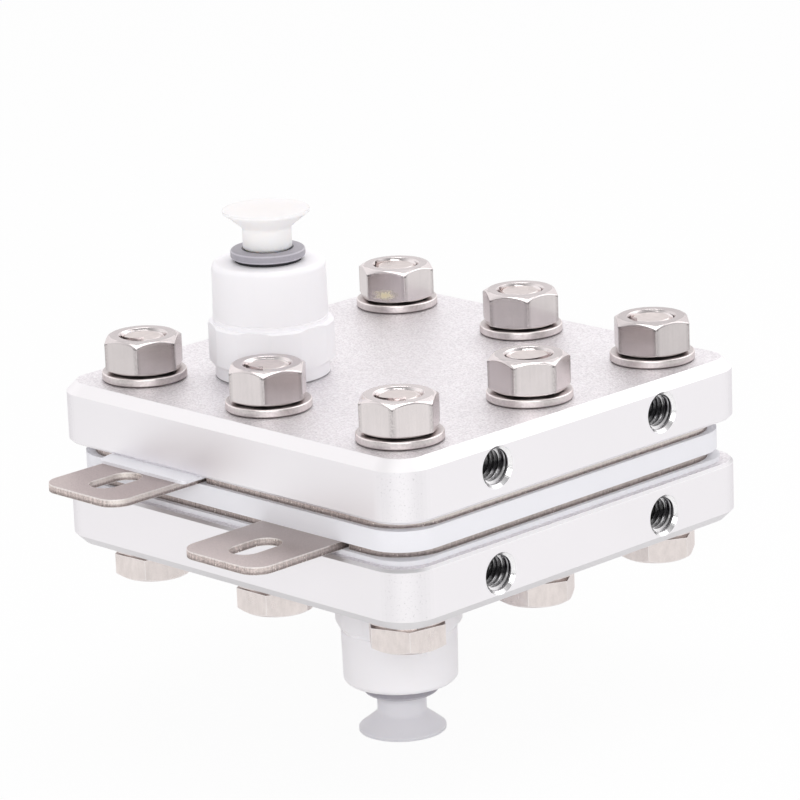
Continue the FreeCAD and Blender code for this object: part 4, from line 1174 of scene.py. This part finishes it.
def add_camera():
    """Sets the camera at the photograph's viewpoint."""
    azimuth = math.radians(CAMERA_AZIMUTH)
    elevation = math.radians(CAMERA_ELEVATION)
    roll = math.radians(CAMERA_ROLL)
    flat_reach = math.cos(elevation)
    back = Vector((math.sin(azimuth) * flat_reach, -math.cos(azimuth) * flat_reach, math.sin(elevation)))
    level = Vector((math.cos(azimuth), math.sin(azimuth), 0.0))
    upright = back.cross(level)
    right = level * math.cos(roll) + upright * math.sin(roll)
    up = upright * math.cos(roll) - level * math.sin(roll)
    turn = Matrix((right, up, back)).transposed().to_4x4()
    lens = bpy.data.cameras.new("camera")
    lens.sensor_width = SENSOR_WIDTH
    lens.lens = FOCAL_PIXELS * SENSOR_WIDTH / PICTURE_PIXELS
    lens.clip_start = 0.01
    lens.clip_end = 20.0
    camera = bpy.data.objects.new("camera", lens)
    camera.matrix_world = Matrix.Translation(CAMERA_AIM + back * CAMERA_DISTANCE) @ turn
    bpy.context.scene.collection.objects.link(camera)
    bpy.context.scene.camera = camera


aluminium = blasted_aluminium()
# The two sheets are one titanium: the lower sheet's faces are painted lighter and its cut edges less cream,
# as painted light and shade that fall differently on the two sheets.
upper_titanium = satin_titanium(
    "upper_satin_titanium",
    upper_sheet_low[2],
    upper_sheet_high[2],
    (0.545, 0.475, 0.465, 1.0),
    cream_share=0.85,
    root_tone=0.9,
)
lower_titanium = satin_titanium(
    "lower_satin_titanium",
    lower_sheet_low[2],
    lower_sheet_high[2],
    (0.73, 0.655, 0.635, 1.0),
    cream_share=0.3,
    root_tone=0.72,
)
nut_steel = steel(
    "formed_nut_steel",
    (0.75, 0.70, 0.695, 1.0),
    0.19,
    (0.975, 1.02),
    (4.0, 4.0, 0.12),
    metal_grain=0.3,
    face_tone=0.86,
    rim_tone=1.12,
    wear_and_highlight_amount=0.9,
    nut=True,
)
head_steel = steel(
    "bolt_steel",
    (0.79, 0.725, 0.70, 1.0),
    0.28,
    (0.93, 1.04),
    (1.5, 1.5, 0.6),
    metal_grain=0.6,
    face_tone=0.9,
    wear_and_highlight_amount=2.2,
)
washer_steel = steel(
    "washer_steel",
    (0.69, 0.64, 0.63, 1.0),
    0.3,
    (0.9, 1.07),
    (2.5, 2.5, 2.5),
    metal_grain=0.9,
    face_tone=0.88,
    rim_tone=1.32,
)
tapped_metal = thread_metal()
silicone = soft_sheet("white_silicone", (0.85, 0.85, 0.885, 1.0), 0.5)
membrane_film = soft_sheet("membrane_film", (0.86, 0.86, 0.85, 1.0), 0.3, 0.5, (1.0, 0.9, 0.7))
# The fittings' plastic: edges painted a little lighter (painted highlight) and a painted contact shadow at
# the seat.
white_plastic = moulded_plastic("white_fitting_plastic", (0.96, 0.945, 0.97, 1.0), 0.42, seat_line=0.2 * MM)
# The upper plug's plastic: edges and flat faces painted darker (painted shade).
plug_plastic = moulded_plastic(
    "white_plug_plastic",
    (0.96, 0.935, 0.93, 1.0),
    0.45,
    translucency=0.7,
    depth=3.0 * MM,
    edge_tone=0.8,
    face_tone=0.86,
)
# The lower plug's plastic: a copy of the plug's painted darker for the shade it stands in, with edges and
# flat faces painted lighter (painted highlight).
shaded_plug_plastic = moulded_plastic(
    "lower_plug_plastic",
    (0.79, 0.78, 0.815, 1.0),
    0.3,
    translucency=0.25,
    depth=2.0 * MM,
    edge_tone=1.2,
    face_tone=1.1,
)
seal_rubber = moulded_plastic("seal_rubber", grey(0.03), 0.6, drift_spread=0.2, translucency=0.0)
sleeve_plastic = moulded_plastic("sleeve_plastic", grey(0.85), 0.4)
titanium_felt = fibre_layer("titanium_felt", grey(0.12), (0.5, 0.49, 0.48, 1.0), 1.0)
carbon_paper = fibre_layer("carbon_paper", grey(0.01), (0.06, 0.06, 0.065, 1.0), 0.0)

dress(aluminium, "upper_end_plate", "lower_end_plate")
dress(upper_titanium, "upper_terminal_plate")
dress(lower_titanium, "lower_terminal_plate")
dress(silicone, "upper_insulating_gasket", "lower_insulating_gasket")
dress(silicone, "upper_frame_gasket", "lower_frame_gasket")
dress(membrane_film, "membrane")
dress(titanium_felt, "anode_felt")
dress(carbon_paper, "cathode_diffusion_layer")
dress(head_steel, "hex_bolts")
dress(washer_steel, "nut_washers", "head_washers")
dress(sleeve_plastic, "bolt_sleeves")
for end in ("upper", "lower"):
    dress(white_plastic, f"{end}_fitting_body")
    dress(plug_plastic if end == "upper" else shaded_plug_plastic, f"{end}_blanking_plug")
    dress(ring_plastic(end), f"{end}_release_collet")
    dress(nut_steel, f"{end}_grip_teeth")
    dress(seal_rubber, f"{end}_tube_seal", f"{end}_port_seal")
    soften(f"{end}_end_plate", 0.12 * MM)
    soften(f"{end}_terminal_plate", 0.15 * MM)
    soften(f"{end}_fitting_body", 0.06 * MM)
    soften(f"{end}_blanking_plug", 0.1 * MM)
soften("hex_bolts", 0.12 * MM)

build_nuts(nut_steel)
build_washers(washer_steel)
build_side_threads(tapped_metal)
build_nut_threads(nut_steel)
build_rim_bead(silicone)

studio_world()
studio_floor()
for name, lamp in SOFTBOXES.items():
    softbox(name, *lamp)
add_camera()
bpy.context.scene.view_settings.view_transform = "Standard"
